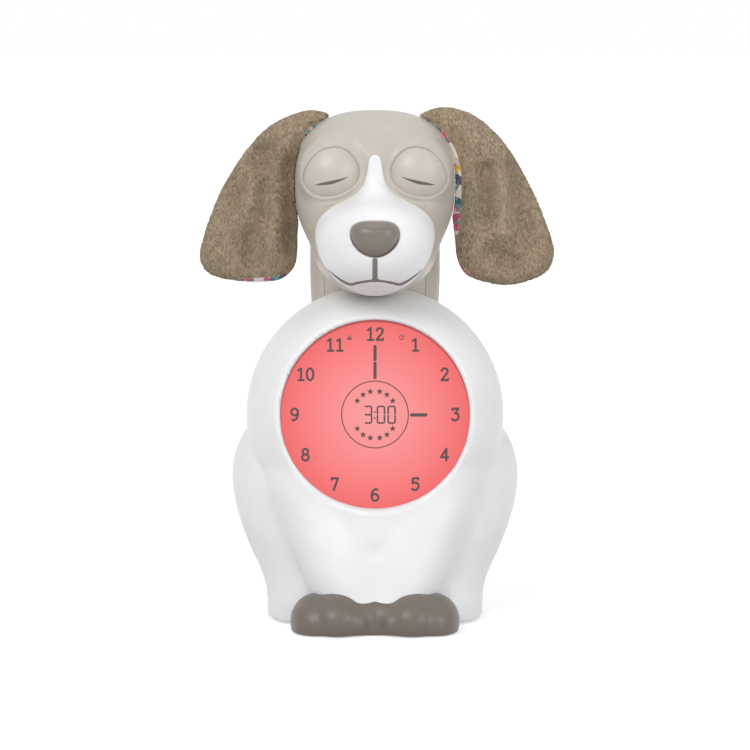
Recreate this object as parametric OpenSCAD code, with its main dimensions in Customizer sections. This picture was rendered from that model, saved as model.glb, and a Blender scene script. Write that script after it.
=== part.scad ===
// Kids' alarm clock and night light in the shape of a sitting dog.
// X runs across, Y from the face (-Y) to the back (+Y), Z up from the table.

/* [Torso] */
// Height of the torso's centre above the table
torso_z = 92; // [84:1:112]
// Radius of the round torso, seen from the front
torso_r = 58.6; // [50:0.1:71]
// Depth of the torso in front of its centre
torso_front = 49; // [44:0.5:60]
// Depth of the torso behind its centre
torso_back = 52; // [48:0.5:62]
// Backward lean of the dial, in degrees
dial_tilt = 6.5; // [0:0.5:12]
// Wall of the moulded shells
wall = 2.2; // [1.8:0.1:2.8]
// Clearance between pieces that drop into each other
fit = 0.25; // [0.15:0.05:0.4]

/* [Dial] */
// Radius of the lit dial
dial_r = 41.8; // [34:0.1:44]
// How far the dial lies below the rim around it
dial_recess = 1.4; // [0.6:0.1:3]
// Thickness of the dial lens
lens_t = 2; // [1.5:0.1:3]
// Distance of the display glass's corners from the dial's edge
lcd_margin = 1.4; // [1.2:0.1:4]
// Depth of the light box behind the display
light_box = 18; // [12:1:20]

/* [Head] */
// Half width of the head
head_r = 34.5; // [32:0.5:42]
// Height of the head's centre above the top of the torso
head_lift = 45.4; // [42:0.2:56]
// Radius of an eyeball
eye_r = 15.3; // [13:0.1:15.6]
// Distance of each eye from the centre line
eye_x = 18.3; // [17.6:0.1:21]
// How far the eyes turn to open, in degrees
eye_travel = 100; // [80:1:110]
// Length of an ear from its root
ear_length = 78; // [60:1:90]
// Thickness of a stuffed ear
ear_t = 10; // [6:0.5:13]

/* [Eye drive] */
// Gear module
gear_m = 0.8; // [0.65:0.05:0.85]
// Teeth on the gear between the eyes
eye_teeth = 24; // [22:1:26]
// Teeth on the idler
idler_teeth = 20; // [18:1:22]
// Teeth on the motor's pinion
pinion_teeth = 12; // [12:1:14]
// Width of the teeth
gear_w = 2.4; // [1.6:0.2:2.6]
// Diameter of the eye axle
axle_d = 3; // [2:0.1:4]

/* [Controls] */
// Diameter of a push button
button_d = 7.6; // [6:0.2:9]
// Travel of a push button
button_travel = 1.2; // [0.6:0.1:1.6]
// Travel of the slide switch
switch_travel = 4; // [2:0.5:5]
// Width of the control panel
panel_w = 46; // [42:1:54]
// Height of the control panel
panel_h = 34; // [32:1:40]

/* [Power] */
// Diameter of one battery
cell_d = 14.2; // [10:0.1:14.6]
// Length of one battery
cell_l = 50; // [44:0.5:51]
// Number of batteries side by side
cells = 3; // [2:1:3]

/* [Hidden] */
$fn = 48;
cut = 0.05;                       // overlap of a cutting tool past the face that it cuts

// ---- Colours ----
white = "#ececec";
beige = "#cdc6bd";
taupe = "#857d76";
steel = "#b9bcc0";
board_green = "#2f6b4a";

// ---- The moulded forms, as smooth fields: below zero is inside ----
function blend(a, b, k) =
    let (h = max(0, min(1, 0.5 + 0.5 * (b - a) / k)))
    b * (1 - h) + a * h - k * h * (1 - h);
function lump(p, c, r, e) =
    let (q = [for (k = [0 : 2]) pow(abs(p[k] - c[k]) / r[k], e)])
    (pow(q[0] + q[1] + q[2], 1 / e) - 1) * min(r);
function limb(p, a, b, r) =
    let (d = b - a, t = max(0, min(1, (p - a) * d / (d * d))))
    norm(p - a - t * d) - r;
function lumps(p, list, f, i = 0) =
    i == len(list)
        ? f
        : lumps(p, list, blend(f, lump(p, list[i][0], list[i][1], list[i][2]), list[i][3]), i + 1);
function either_side(p) = [abs(p.x), p.y, p.z];

torso_c = [0, 6, torso_z];
dial_n = [0, -cos(dial_tilt), sin(dial_tilt)];
torso_e = 2.35;                   // roundness of the torso's profile
function profile_h(r, depth) = depth * pow(max(0, 1 - pow(r / torso_r, torso_e)), 1 / torso_e);
function torso(p) =
    let (
        q = p - torso_c,
        h = q * dial_n,
        r = sqrt(max(0, q * q - h * h)),
        depth = h > 0 ? torso_front : torso_back
    )
    (pow(pow(r / torso_r, torso_e) + pow(abs(h) / depth, torso_e), 1 / torso_e) - 1) * torso_front;

// The trunk, haunches and hind feet are drawn for these sizes and grow with the torso.
drawn_r = 58.6;
drawn_z = 92;
body_k = torso_r / drawn_r;
trunk_forms = [
    [[0, 16, 44], [45, 40, 50], 2.3, 10],
    [[33.5, 14, 63.1], [32, 34, 34.6], 2.05, 1.2],
    [[31, 14, 33], [23, 34, 20.8], 2.3, 17.5]
];
chest_form = [[[0, -16, 30], [26, 28, 52], 2.2, 9]];
foot_form = [[[29.8, 8, 4], [19.4, 34, 25], 2.4, 7]];
leg_r = 17;
leg_top = [13, -22, 66];
leg_foot = [17, -32, 4];
function drawn(p) = [abs(p.x) / body_k, p.y / body_k, p.z * drawn_z / torso_z];
function trunk(p) =
    let (
        q = drawn(p),
        legs = blend(lumps(q, trunk_forms, torso(p) / body_k), limb(q, leg_top, leg_foot, leg_r), 12)
    )
    lumps(q, concat(foot_form, chest_form), legs) * body_k;

base_z = 1.2;                     // underside of the shells above the table
base_round = 1;
function body_form(p) = -blend(-trunk(p), p.z - base_z, base_round);

// The head: dome, snout, eye sockets and neck
head_z = torso_z + torso_r + head_lift;
head_y = 15;
eye_y = -8.5;
eye_z = head_z + 7;
socket_r = eye_r + 1.3;
snout_z = head_z - 24.5;
neck_y = 31;
neck_rx = 29.3;
neck_ry = 20;
neck_e = 2.6;
neck_foot = torso_z + torso_r - 32;
head_forms = [
    [[0, -20, snout_z], [28, 34, 21.5], 2.05, 12],
    [[eye_x, eye_y, eye_z], [socket_r, socket_r, socket_r], 2, 3]
];
chin_gap = 0.6;                   // air between the chin and the top of the torso
chin_floor = torso_z + torso_r + chin_gap;
function head_form(p) =
    let (
        q = either_side(p),
        face = lumps(q, head_forms, lump(q, [0, head_y, head_z], [head_r, 37, 34], 2.6)),
        over_torso = -blend(-face, p.z - chin_floor, 1),
        neck = lump(q, [0, neck_y, head_z - 36], [neck_rx, neck_ry, 60], neck_e)
    )
    blend(over_torso, neck, 5);

// The paws in one moulding: two toes each and a bridge between them
paw_forms = [
    [[25, -38.5, 6], [12.6, 17.5, 11.4], 2.3, 3],
    [[0, -32, 3.5], [12, 15, 12], 2.3, 2.5]
];
function paw_form(p) =
    let (q = either_side(p))
    lumps(q, paw_forms, lump(q, [14.3, -40.2, 6], [13.6, 18.8, 12.4], 2.3));

// ---- Rays from an axis inside a form to its surface ----
function reach(f, o, d, level, lo = 0, hi = 120, n = 13) =
    let (m = (lo + hi) / 2)
    n == 0
        ? m
        : f(o + d * m) < level ? reach(f, o, d, level, m, hi, n - 1) : reach(f, o, d, level, lo, m, n - 1);
function surface_y(f, x, z, side, level, from_y) =
    from_y + side * reach(f, [x, from_y, z], [0, side, 0], level);

// One ring of points for azimuths 0 to 90 on the given side, mirrored to the other half
function half_ring(f, y, station, side, columns, level) =
    let (
        h = columns / 2,
        o = [0, y, station[0]],
        c = cos(station[1]),
        s = sin(station[1]),
        quarter = [
            for (j = [0 : h])
                let (a = 90 * j / h, d = [c * sin(a), side * c * cos(a), s])
                o + d * reach(f, o, d, level)
        ]
    )
    [for (j = [-h : h]) let (p = quarter[abs(j)]) [j < 0 ? -p.x : p.x, abs(j) == h ? y : p.y, p.z]];

// A half of a hollow moulding, split on the plane through its axis at y.
// The stations are [height, elevation]; the last one is the pole.
module half_shell(skin, core, y, stations, side, columns, thickness) {
    rows = len(stations) - 1;
    n = columns + 1;
    outer = [for (i = [0 : rows - 1]) each half_ring(skin, y, stations[i], side, columns, 0)];
    inner = [for (i = [0 : rows - 1]) each half_ring(core, y, stations[i], side, columns, -thickness)];
    top = [0, y, stations[rows][0]];
    pole_out = top + [0, 0, reach(skin, top, [0, 0, 1], 0)];
    pole_in = top + [0, 0, reach(core, top, [0, 0, 1], -thickness)];
    po = rows * n;
    shift = po + 1;
    last = shift + po;
    function skin_faces(s, pole) = [
        for (i = [0 : rows - 2], j = [0 : n - 2])
            let (a = s + i * n + j)
            each [[a, a + 1, a + n + 1], [a, a + n + 1, a + n]],
        for (j = [0 : n - 2]) let (a = s + (rows - 1) * n + j) [a, a + 1, pole]
    ];
    outside = skin_faces(0, po);
    inside = [for (t = skin_faces(shift, last)) [t[0], t[2], t[1]]];
    rim = [
        for (i = [0 : rows - 2], j = [0, n - 1])
            let (
                a = i * n + j,
                q = [[a, a + n, a + n + shift], [a, a + n + shift, a + shift]]
            )
            each (j == 0 ? q : [for (t = q) [t[0], t[2], t[1]]]),
        for (j = [0, n - 1])
            let (
                a = (rows - 1) * n + j,
                q = [[a, po, last], [a, last, a + shift]]
            )
            each (j == 0 ? q : [for (t = q) [t[0], t[2], t[1]]])
    ];
    foot = [for (j = [0 : n - 2]) each [[j + 1, j, j + shift], [j + 1, j + shift, j + 1 + shift]]];
    faces = concat(outside, inside, rim, foot);
    polyhedron(
        concat(outer, [pole_out], inner, [pole_in]),
        side > 0 ? faces : [for (t = faces) [t[0], t[2], t[1]]]
    );
}

// A closed solid of a form, swept by whole rings up from a flat foot to a pole
module solid_form(f, axis, stations, columns, level = 0) {
    rows = len(stations) - 1;
    points = [
        for (i = [0 : rows - 1], j = [0 : columns - 1])
            let (
                o = [axis.x, axis.y, stations[i][0]],
                a = 360 * j / columns,
                c = cos(stations[i][1]),
                d = [c * sin(a), -c * cos(a), sin(stations[i][1])]
            )
            o + d * reach(f, o, d, level)
    ];
    top = [axis.x, axis.y, stations[rows][0]];
    pole = top + [0, 0, reach(f, top, [0, 0, 1], level)];
    foot = [axis.x, axis.y, stations[0][0]];
    np = rows * columns;
    faces = [
        for (i = [0 : rows - 2], j = [0 : columns - 1])
            let (a = i * columns + j, b = i * columns + (j + 1) % columns)
            each [[a, b + columns, b], [a, a + columns, b + columns]],
        for (j = [0 : columns - 1])
            let (a = (rows - 1) * columns + j, b = (rows - 1) * columns + (j + 1) % columns)
            [a, np, b],
        for (j = [0 : columns - 1]) [j, (j + 1) % columns, np + 1]
    ];
    polyhedron(concat(points, [pole, foot]), faces);
}

// Rings at even heights from a to b, then at even elevations over the top
function stations(heights, elevations) =
    [each [for (z = heights) [z, 0]], each [for (e = elevations) [heights[len(heights) - 1], e]]];
function steps(a, b, n) = [for (i = [0 : n]) a + (b - a) * i / n];

// ---- Frames of reference ----
module on_dial(h) {
    translate(torso_c)
        rotate([90 - dial_tilt, 0, 0])
            translate([0, 0, h])
                children();
}
// Local +Z points out of the back
module to_back(at) {
    translate(at)
        rotate([-90, 0, 0])
            children();
}
module to_front(at) {
    translate(at)
        rotate([90, 0, 0])
            children();
}
module both_sides() {
    children();
    mirror([1, 0, 0])
        children();
}

// ---- Screw bosses that join the halves ----
split_y = 10;                     // parting plane of the body
head_split_y = 16;                // parting plane of the head
boss_r = 3.6;
pilot_r = 1.2;
screw_r = 1.45;
screw_head_r = 2.8;
screw_seat = 5;                   // thickness under a screw's head
screw_length = 14;
body_bosses = [for (s = [-1, 1]) each [[s * 42, torso_z + 21], [s * 37, torso_z * 0.3]]];
head_bosses = [[0, head_z + 25.5], [-25, head_z - 20], [25, head_z - 20]];

// The post of one boss runs from the parting plane into the skin, and stays inside it all round its rim
function rim_y(f, at, y, side, r) =
    side * min([
        for (a = [0 : 45 : 315])
            side * surface_y(f, at.x + r * cos(a), at.y + r * sin(a), side, -0.6, y)
    ]);
module post(f, at, y, side, r) {
    reach_y = rim_y(f, at, y, side, r);
    translate([at.x, side < 0 ? reach_y : y, at.y])
        rotate([-90, 0, 0])
            cylinder(r = r, h = abs(reach_y - y));
}
module screw_path(at, y) {
    to_back([at.x, y - cut, at.y])
        cylinder(r = screw_r + fit, h = 60);
    to_back([at.x, y + screw_seat, at.y])
        cylinder(r = screw_head_r + fit, h = 60);
}
small_screw_l = 8.4;
small_head_r = 2.4;
small_head_t = 1.4;
// A small screw from the foot of its thread to its head
module small_screw(l = small_screw_l) {
    cylinder(r = pilot_r, h = l);
    translate([0, 0, l])
        cylinder(r = small_head_r, h = small_head_t);
}
module screw(at, y) {
    to_back([at.x, y + screw_seat - screw_length, at.y])
        cylinder(r = pilot_r, h = screw_length);
    to_back([at.x, y + screw_seat, at.y])
        difference() {
            cylinder(r = screw_head_r, h = 2);
            translate([0, 0, 1])
                cylinder(r = 1.2, h = 2, $fn = 6);
        }
}

// ---- Body shells ----
body_columns = 24;
body_stations = stations(
    concat([base_z + 0.05], steps(4, torso_z, 14)),
    [8, 17, 26, 35, 44, 53, 62, 71, 80, 90]
);
lens_lip = 1.2;                   // flange of the lens behind the shell's edge
lip_t = 0.8;
rim_h = profile_h(dial_r, torso_front);          // where the dial opening meets the torso's skin
lens_h = rim_h - dial_recess - lens_t;           // back of the lens
module neck_outline(grow) {
    polygon([
        for (j = [0 : 39])
            let (a = 9 * j, c = cos(a), s = sin(a))
            [
                sign(c) * (neck_rx + grow) * pow(abs(c), 2 / neck_e),
                neck_y + sign(s) * (neck_ry + grow) * pow(abs(s), 2 / neck_e)
            ]
    ]);
}
module neck_hole() {
    translate([0, 0, neck_foot])
        linear_extrude(60)
            neck_outline(fit);
}
module body_half(side) {
    half_shell(
        function(p) body_form(p), function(p) trunk(p),
        split_y, body_stations, side, body_columns, wall
    );
}
module body_front_shell() {
    color(white)
        difference() {
            union() {
                body_half(-1);
                for (b = body_bosses)
                    post(function(p) trunk(p), b, split_y, -1, boss_r);
                both_sides()
                    base_post(base_holes[0]);
                for (a = lug_angles)
                    lug_post(a);
            }
            on_dial(lens_h - 12)
                cylinder(r = dial_r, h = 40, $fn = 96);
            on_dial(lens_h - 12)
                cylinder(r = dial_r + lens_lip + fit, h = 12 + lip_t + 0.1, $fn = 96);
            for (a = lug_angles)
                on_dial(lug_h - cut)
                    at_angle(a)
                        cylinder(r = pilot_r + 0.02, h = small_screw_l - lug_t + 0.5);
            neck_hole();
            for (b = body_bosses)
                to_front([b.x, split_y + cut, b.y])
                    cylinder(r = pilot_r, h = screw_length - screw_seat + 1);
            paw_solid(0.15);
        }
}

// The light box hangs on four posts of the front shell
lug_angles = [45, 135, 225, 315];
lug_r = dial_r + 6.2;             // distance of a lug's screw from the dial's axis
lug_h = lens_h - 14;
lug_t = 2;
lug_w = 6.4;
module at_angle(a) {
    rotate([0, 0, a])
        translate([lug_r, 0, 0])
            children();
}
module lug_post(a) {
    out = lug_r * [cos(a), sin(a)];
    foot = torso_c + lug_h * dial_n;
    up = [0, sin(dial_tilt), cos(dial_tilt)];
    rim = [
        for (b = [0 : 45 : 315])
            let (c = out + lug_w / 2 * [cos(b), sin(b)])
            foot + [c.x, 0, 0] + c.y * up
    ];
    on_dial(lug_h)
        at_angle(a)
            cylinder(d = lug_w, h = min([for (p = rim) reach(function(p) trunk(p), p, dial_n, -0.6)]));
}

// ---- Rear: control panel, grille, jack ----
panel_z = torso_z + 2;
panel_y = surface_y(function(p) trunk(p), panel_w / 2, panel_z + panel_h / 2, 1, 0, split_y) - 0.3;
panel_t = 2.4;
panel_corner = 6;
grille_z = torso_z * 0.46;
grille_r = 16;
grille_y = surface_y(function(p) trunk(p), 0, grille_z - grille_r, 1, 0, split_y) - 0.2;
grille_t = 2;
jack_at = [25, 0, torso_z * 0.2];
jack_r = 5.2;
jack_y = surface_y(function(p) trunk(p), jack_at.x + jack_r, jack_at.z, 1, 0, split_y) - 0.4;

module rounded_plate(w, h, r, t) {
    linear_extrude(t)
        rounded_outline(w, h, r);
}
module rounded_outline(w, h, r) {
    square([w - 2 * r, h], center = true);
    square([w, h - 2 * r], center = true);
    for (sx = [-1, 1], sy = [-1, 1])
        translate([sx * (w / 2 - r), sy * (h / 2 - r)])
            circle(r = r);
}
module body_rear_shell() {
    color(white)
        difference() {
            union() {
                body_half(1);
                for (b = body_bosses)
                    post(function(p) trunk(p), b, split_y, 1, boss_r);
                both_sides()
                    base_post(base_holes[1]);
                for (h = board_holes)
                    board_post(h);
            }
            for (b = body_bosses)
                screw_path(b, split_y);
            for (h = board_holes)
                to_back([h.x, board_y, h.y])
                    cylinder(r = pilot_r, h = board_grip + 0.5);
            neck_hole();
            to_back([0, panel_y - 12, panel_z])
                rounded_plate(panel_w + 2 * fit, panel_h + 2 * fit, panel_corner, 40);
            to_back([0, grille_y - 12, grille_z])
                cylinder(r = grille_r + fit, h = 40);
            to_back([jack_at.x, jack_y - 12, jack_at.z])
                cylinder(r = jack_r + fit, h = 40);
        }
}

// ---- Base ----
base_t = 2.4;
bay_wall = 1.6;
bay_in = [cell_l + 7, cells * (cell_d + 0.6) + 1];
bay_y = 10;
bay_h = cell_d + 1.4;
door_size = [bay_in.x - 3, bay_in.y - 2];
door_t = 1.8;
door_z = base_z + 0.1;
base_holes = [[40, -3], [40, 22]];        // screws into the front and the rear shell, on each side
feet = [[32.5, 32], [32.5, -14]];
foot_r = 3.5;
base_post_r = 3;
base_post_h = 9;
paw_back = -27;                    // the paws' moulding ends here, inside the shell
base_front = paw_back + 0.6;
paw_wall = [52, 2, 11];            // upstand of the base plate behind the paws
paw_screw = [18, 8];
module base_outline() {
    o = [0, split_y, base_z + 0.1];
    polygon([
        for (j = [0 : 47])
            let (
                a = 7.5 * j,
                d = [cos(a), sin(a), 0],
                p = o + d * reach(function(p) trunk(p), o, d, -wall - fit)
            )
            [p.x, max(p.y, base_front)]
    ]);
}
// A boss on a shell's wall, over a screw of the base
module base_post(at) {
    z = base_z + 0.1 + base_t;
    wall_x = reach(function(p) trunk(p), [0, at.y, z], [1, 0, 0], -wall / 2);
    difference() {
        union() {
            translate([at.x, at.y, z])
                cylinder(r = base_post_r, h = base_post_h);
            translate([at.x, at.y - 1, z])
                cube([wall_x - at.x, 2, base_post_h]);
        }
        translate([at.x, at.y, z - 1])
            cylinder(r = pilot_r, h = base_post_h);
    }
}
module base_plate() {
    color(white)
        difference() {
            union() {
                translate([0, 0, base_z + 0.1])
                    linear_extrude(base_t)
                        base_outline();
                translate([0, bay_y, base_z + base_t])
                    linear_extrude(bay_h)
                        difference() {
                            square(bay_in + 2 * [bay_wall, bay_wall], center = true);
                            square(bay_in, center = true);
                        }
                translate([-paw_wall.x / 2, base_front, base_z + base_t])
                    cube(paw_wall);
            }
            both_sides()
                to_front([paw_screw.x, base_front + paw_wall.y + 1, paw_screw.y])
                    cylinder(r = screw_r, h = 4);
            translate([0, bay_y, 0])
                linear_extrude(base_z + base_t + 0.2)
                    square(door_size + [0.6, 0.6], center = true);
            for (h = base_holes)
                both_sides()
                    translate([h.x, h.y, 0]) {
                        cylinder(r = screw_r + fit, h = 8);
                        cylinder(r = screw_head_r + fit, h = base_z + 1);
                    }
        }
}
module battery_door() {
    color(white)
        translate([0, bay_y, door_z])
            difference() {
                linear_extrude(door_t)
                    square(door_size, center = true);
                translate([0, -door_size.y / 2 + 5, -cut])
                    cylinder(r = screw_r, h = 5);
                translate([0, -door_size.y / 2 + 5, -cut])
                    cylinder(r = screw_head_r, h = 0.9);
            }
}
module battery_door_screw() {
    color(steel)
        translate([0, bay_y - door_size.y / 2 + 5, door_z]) {
            cylinder(r = screw_head_r - 0.1, h = 0.8);
            cylinder(r = screw_r - 0.1, h = door_t);
        }
}
cell_z = door_z + door_t + cell_d / 2 + 0.3;
cell_pitch = cell_d + 0.5;
module batteries() {
    color("#3b3f46")
        for (i = [0 : cells - 1])
            translate([-cell_l / 2, bay_y + (i - (cells - 1) / 2) * cell_pitch, cell_z])
                rotate([0, 90, 0]) {
                    cylinder(d = cell_d, h = cell_l - 1.5);
                    cylinder(d = 5.4, h = cell_l);
                }
}
module battery_contacts() {
    color(steel)
        for (s = [-1, 1], i = [0 : cells - 1])
            translate([s * (cell_l / 2 + 0.15), bay_y + (i - (cells - 1) / 2) * cell_pitch, cell_z])
                rotate([0, s * 90, 0]) {
                    cylinder(r = 2.4, h = 2.6);
                    translate([0, 0, 2.6])
                        linear_extrude(0.5)
                            square([9, 10], center = true);
                }
}
module rubber_feet() {
    color("#4b4d50")
        both_sides()
            for (f = feet)
                translate([f.x, f.y, 0])
                    cylinder(r = foot_r, h = base_z + 0.1);
}

// ---- Paws ----
module paw_solid(grow) {
    solid_form(function(p) paw_form(p), [0, -38], stations([0, 3, 6.5], [12, 25, 38, 52, 70, 90]), 40, grow);
}
module paws() {
    color(taupe)
        difference() {
            paw_solid(0);
            translate([-50, paw_back, -1])
                cube([100, 60, 60]);
            both_sides()
                to_front([paw_screw.x, paw_back + cut, paw_screw.y])
                    cylinder(r = pilot_r, h = small_screw_l - 1);
        }
}

// ---- Dial, display and night light ----
lcd_side = sqrt(2) * (dial_r - lcd_margin);
lcd_t = 2.6;
lcd_h = lens_h - lcd_t - 0.1;
module dial_lens() {
    color("#fa8485")
        on_dial(lens_h)
            union() {
                cylinder(r = dial_r - fit, h = lens_t, $fn = 96);
                cylinder(r = dial_r + lens_lip, h = lip_t, $fn = 96);
            }
}
module lcd_panel() {
    color("#c98f90")
        on_dial(lcd_h)
            linear_extrude(lcd_t)
                square(lcd_side, center = true);
}
module dial_frame() {
    color(white)
        on_dial(lcd_h)
            difference() {
                cylinder(r = dial_r + lens_lip, h = lcd_t, $fn = 96);
                translate([0, 0, -1])
                    linear_extrude(lcd_t + 2)
                        square(lcd_side + 2 * fit, center = true);
            }
}
// The light box is a cone from the LED board's edge up to a straight rim behind the display
led_h = lcd_h - 0.2 - light_box;
cone_in = dial_r - 12;
cone_out = dial_r - 10.4;
rim_in = dial_r - 2.4;
rim_out = dial_r - 0.5;
cone_l = light_box - 2;
module light_box_shell() {
    lug_low = lug_h - lug_t - 0.05;
    arm_from = cone_in + (rim_in - cone_in) * (lug_low + lug_t - led_h) / cone_l + 0.2;
    color(white)
        difference() {
            union() {
                on_dial(led_h)
                    rotate_extrude($fn = 96)
                        polygon([
                            [cone_in, 0], [cone_out, 0], [rim_out, cone_l],
                            [rim_out, light_box], [rim_in, light_box], [rim_in, cone_l]
                        ]);
                for (a = lug_angles)
                    on_dial(lug_low) {
                        at_angle(a)
                            cylinder(d = lug_w, h = lug_t);
                        rotate([0, 0, a])
                            translate([arm_from, -lug_w / 2, 0])
                                cube([lug_r - arm_from, lug_w, lug_t]);
                    }
            }
            for (a = lug_angles)
                on_dial(lug_low - 1)
                    at_angle(a)
                        cylinder(r = screw_r, h = lug_t + 2);
        }
}
led_board_t = 1.6;
module led_board() {
    color(board_green)
        on_dial(led_h - led_board_t)
            cylinder(r = cone_out, h = led_board_t);
}
module leds() {
    color("#f4e9a0")
        for (a = [0 : 60 : 300])
            on_dial(led_h)
                rotate([0, 0, a])
                    translate([cone_in * 0.6, 0, 0])
                        linear_extrude(1.6)
                            square(5, center = true);
}

// ---- Controls ----
button_gap = 0.2;
flange_t = 1;
flange_grow = 1;
proud = 1.8;                      // height of a button above the panel
button_rows = [8, -3];
button_columns = [-14, 0, 14];
slider_z = -12.5;
switch_t = 3;
board_t = 1.6;
board_y = panel_y - panel_t - flange_t - button_travel - 0.2 - switch_t - board_t;
board_size = [62, 38];
board_grip = 5;                   // thread of a board screw in its post
board_holes = [
    for (sx = [-1, 1], sz = [-1, 1])
        [sx * (board_size.x / 2 - 3.4), panel_z + sz * (board_size.y / 2 - 3.4)]
];
module board_post(at) {
    y = board_y + board_t;
    to_back([at.x, y, at.y])
        cylinder(r = 2.6, h = rim_y(function(p) trunk(p), at, split_y, 1, 2.6) - y);
}
function button_at(column, row) = [button_columns[column], panel_y - panel_t, panel_z + button_rows[row]];
module control_panel() {
    color(white)
        difference() {
            to_back([0, panel_y - panel_t, panel_z])
                rounded_plate(panel_w, panel_h, panel_corner, panel_t);
            for (c = [0 : 2], r = [0 : 1])
                to_back(button_at(c, r) - [0, 1, 0])
                    cylinder(r = button_d / 2 + button_gap, h = panel_t + 2);
            to_back([0, panel_y - panel_t - 1, panel_z + slider_z])
                linear_extrude(panel_t + 2)
                    square([switch_travel + 4 + 0.4, 3.4], center = true);
        }
}
module push_button(column, row) {
    color(taupe)
        to_back(button_at(column, row)) {
            cylinder(r = button_d / 2, h = panel_t + proud);
            translate([0, 0, -flange_t])
                cylinder(r = button_d / 2 + flange_grow, h = flange_t);
        }
}
module tact_switches() {
    color("#26272a")
        for (c = [0 : 2], r = [0 : 1])
            to_back([button_columns[c], board_y + board_t, panel_z + button_rows[r]]) {
                linear_extrude(switch_t - 1)
                    square(6, center = true);
                cylinder(r = 1.7, h = switch_t);
            }
}
module main_board() {
    color(board_green)
        to_back([0, board_y, panel_z])
            linear_extrude(board_t)
                difference() {
                    square(board_size, center = true);
                    for (h = board_holes)
                        translate([h.x, panel_z - h.y])
                            circle(r = screw_r + fit);
                }
}
module lock_switch_knob() {
    color("#2c2d30")
        translate([-switch_travel / 2, 0, 0])
            to_back([0, panel_y - panel_t - 1.2, panel_z + slider_z]) {
                linear_extrude(panel_t + 2.2)
                    square([4, 3], center = true);
            }
}
module lock_switch_body() {
    color(steel)
        to_back([0, board_y + board_t, panel_z + slider_z])
            linear_extrude(panel_y - panel_t - 1.3 - board_y - board_t)
                square([11, 5.6], center = true);
}

// ---- Sound and power ----
module speaker_grille() {
    color(white)
        to_back([0, grille_y - grille_t, grille_z])
            difference() {
                cylinder(r = grille_r, h = grille_t);
                for (ring = [0 : 3], k = [0 : max(0, ring * 6 - 1)])
                    rotate([0, 0, ring == 0 ? 0 : 60 * k / ring])
                        translate([ring * 3.6, 0, -1])
                            cylinder(r = 1, h = grille_t + 2);
            }
}
module speaker() {
    color("#3a3b3e")
        to_back([0, grille_y - grille_t - 11, grille_z])
            rotate_extrude()
                polygon([[0, 0], [9, 0], [9, 4], [14, 8], [14, 10.6], [11.5, 10.6], [5, 6.5], [0, 6.5]]);
}
module speaker_ring() {
    color(white)
        to_back([0, grille_y - grille_t - 3.4, grille_z])
            difference() {
                cylinder(r = grille_r - 0.2, h = 3.2);
                translate([0, 0, -1])
                    cylinder(r = 14 + fit, h = 6);
            }
}
pin_r = 1;
barrel_r = 3.1;
module dc_jack() {
    color("#1d1e20")
        to_back([jack_at.x, jack_y - 12, jack_at.z]) {
            difference() {
                union() {
                    cylinder(r = jack_r, h = 12);
                    cylinder(r = jack_r + 1.4, h = 4);
                }
                translate([0, 0, 2.5])
                    cylinder(r = barrel_r, h = 12);
            }
            translate([0, 0, 2.4])
                cylinder(r = pin_r, h = 8.4);
        }
}

// ---- Neck ----
module neck_collar() {
    color(beige)
        translate([0, 0, neck_foot - 2.4])
            difference() {
                linear_extrude(2.3)
                    neck_outline(0);
                translate([0, neck_y, -1])
                    cylinder(r = 13, h = 8);
            }
}

// ---- Head shells ----
head_columns = 24;
head_stations = stations(
    concat(
        steps(neck_foot, chin_floor - 0.1, 3),
        [chin_floor + 0.3, chin_floor + 1.2],
        steps(chin_floor + 3.5, head_z, 10)
    ),
    [10, 20, 30, 40, 50, 60, 70, 80, 90]
);
// An eye opening seen from the front: distance of its edge from its centre, every 15 degrees
aperture = [
    12.6, 11.85, 11.3, 11.07, 11.05, 11.25, 11.55, 11.87, 12.17, 12.35, 12.5, 12.85,
    13.05, 12.9, 12.4, 11.65, 11.2, 11.15, 11.5, 12, 12.8, 13.6, 14.05, 13.75
];
aperture_c = [eye_x + 1.2, eye_y, eye_z + 0.6];
module eye_openings() {
    both_sides()
        translate(aperture_c)
            rotate([90, 0, 0])
                linear_extrude(40)
                    polygon([for (j = [0 : 23]) aperture[j] * [cos(15 * j), sin(15 * j)]]);
}
module eye_space() {
    both_sides()
        translate([eye_x, eye_y, eye_z])
            sphere(r = eye_r + 0.45);
}
// The blaze and muzzle, seen from the front: half width at each height above the snout's centre
muzzle_edge = [
    [1.4, 39.4], [2.7, 36.9], [3.5, 32.1], [5.2, 26.8], [7.3, 23.7], [9.7, 21.6],
    [13.2, 19.5], [18.4, 17.2], [22.1, 14.4], [24.6, 11.7], [26.1, 8.4], [26.5, 5.4],
    [25.6, -0.6], [24.3, -3.6], [22.2, -6.7], [19.3, -9.9], [14, -15.5], [5, -22]
];
mask_back = -14;
chin_back = -24;                   // the white chin ends here, below the cheeks
cheek_z = snout_z + 4;
module muzzle_area(grow) {
    right = [for (p = muzzle_edge) [p.x + grow, snout_z + p.y + (p.y > 30 ? grow : 0)]];
    left = [for (i = [len(right) - 1 : -1 : 0]) [-right[i].x, right[i].y]];
    difference() {
        translate([0, mask_back, 0])
            rotate([90, 0, 0])
                linear_extrude(60)
                    polygon(concat(right, left));
        translate([-50, chin_back + grow, 0])
            cube([100, 20, cheek_z - grow]);
    }
}
module ear_slot(grow) {
    both_sides()
        translate([0, head_split_y, head_z])
            rotate([0, ear_slot_angle, 0])
                translate([0, 0, 30])
                    cube([2 + 2 * grow, 12 + 2 * grow, 40], center = true);
}
module head_half(side) {
    half_shell(
        function(p) head_form(p), function(p) head_form(p),
        head_split_y, head_stations, side, head_columns, wall
    );
}
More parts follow.
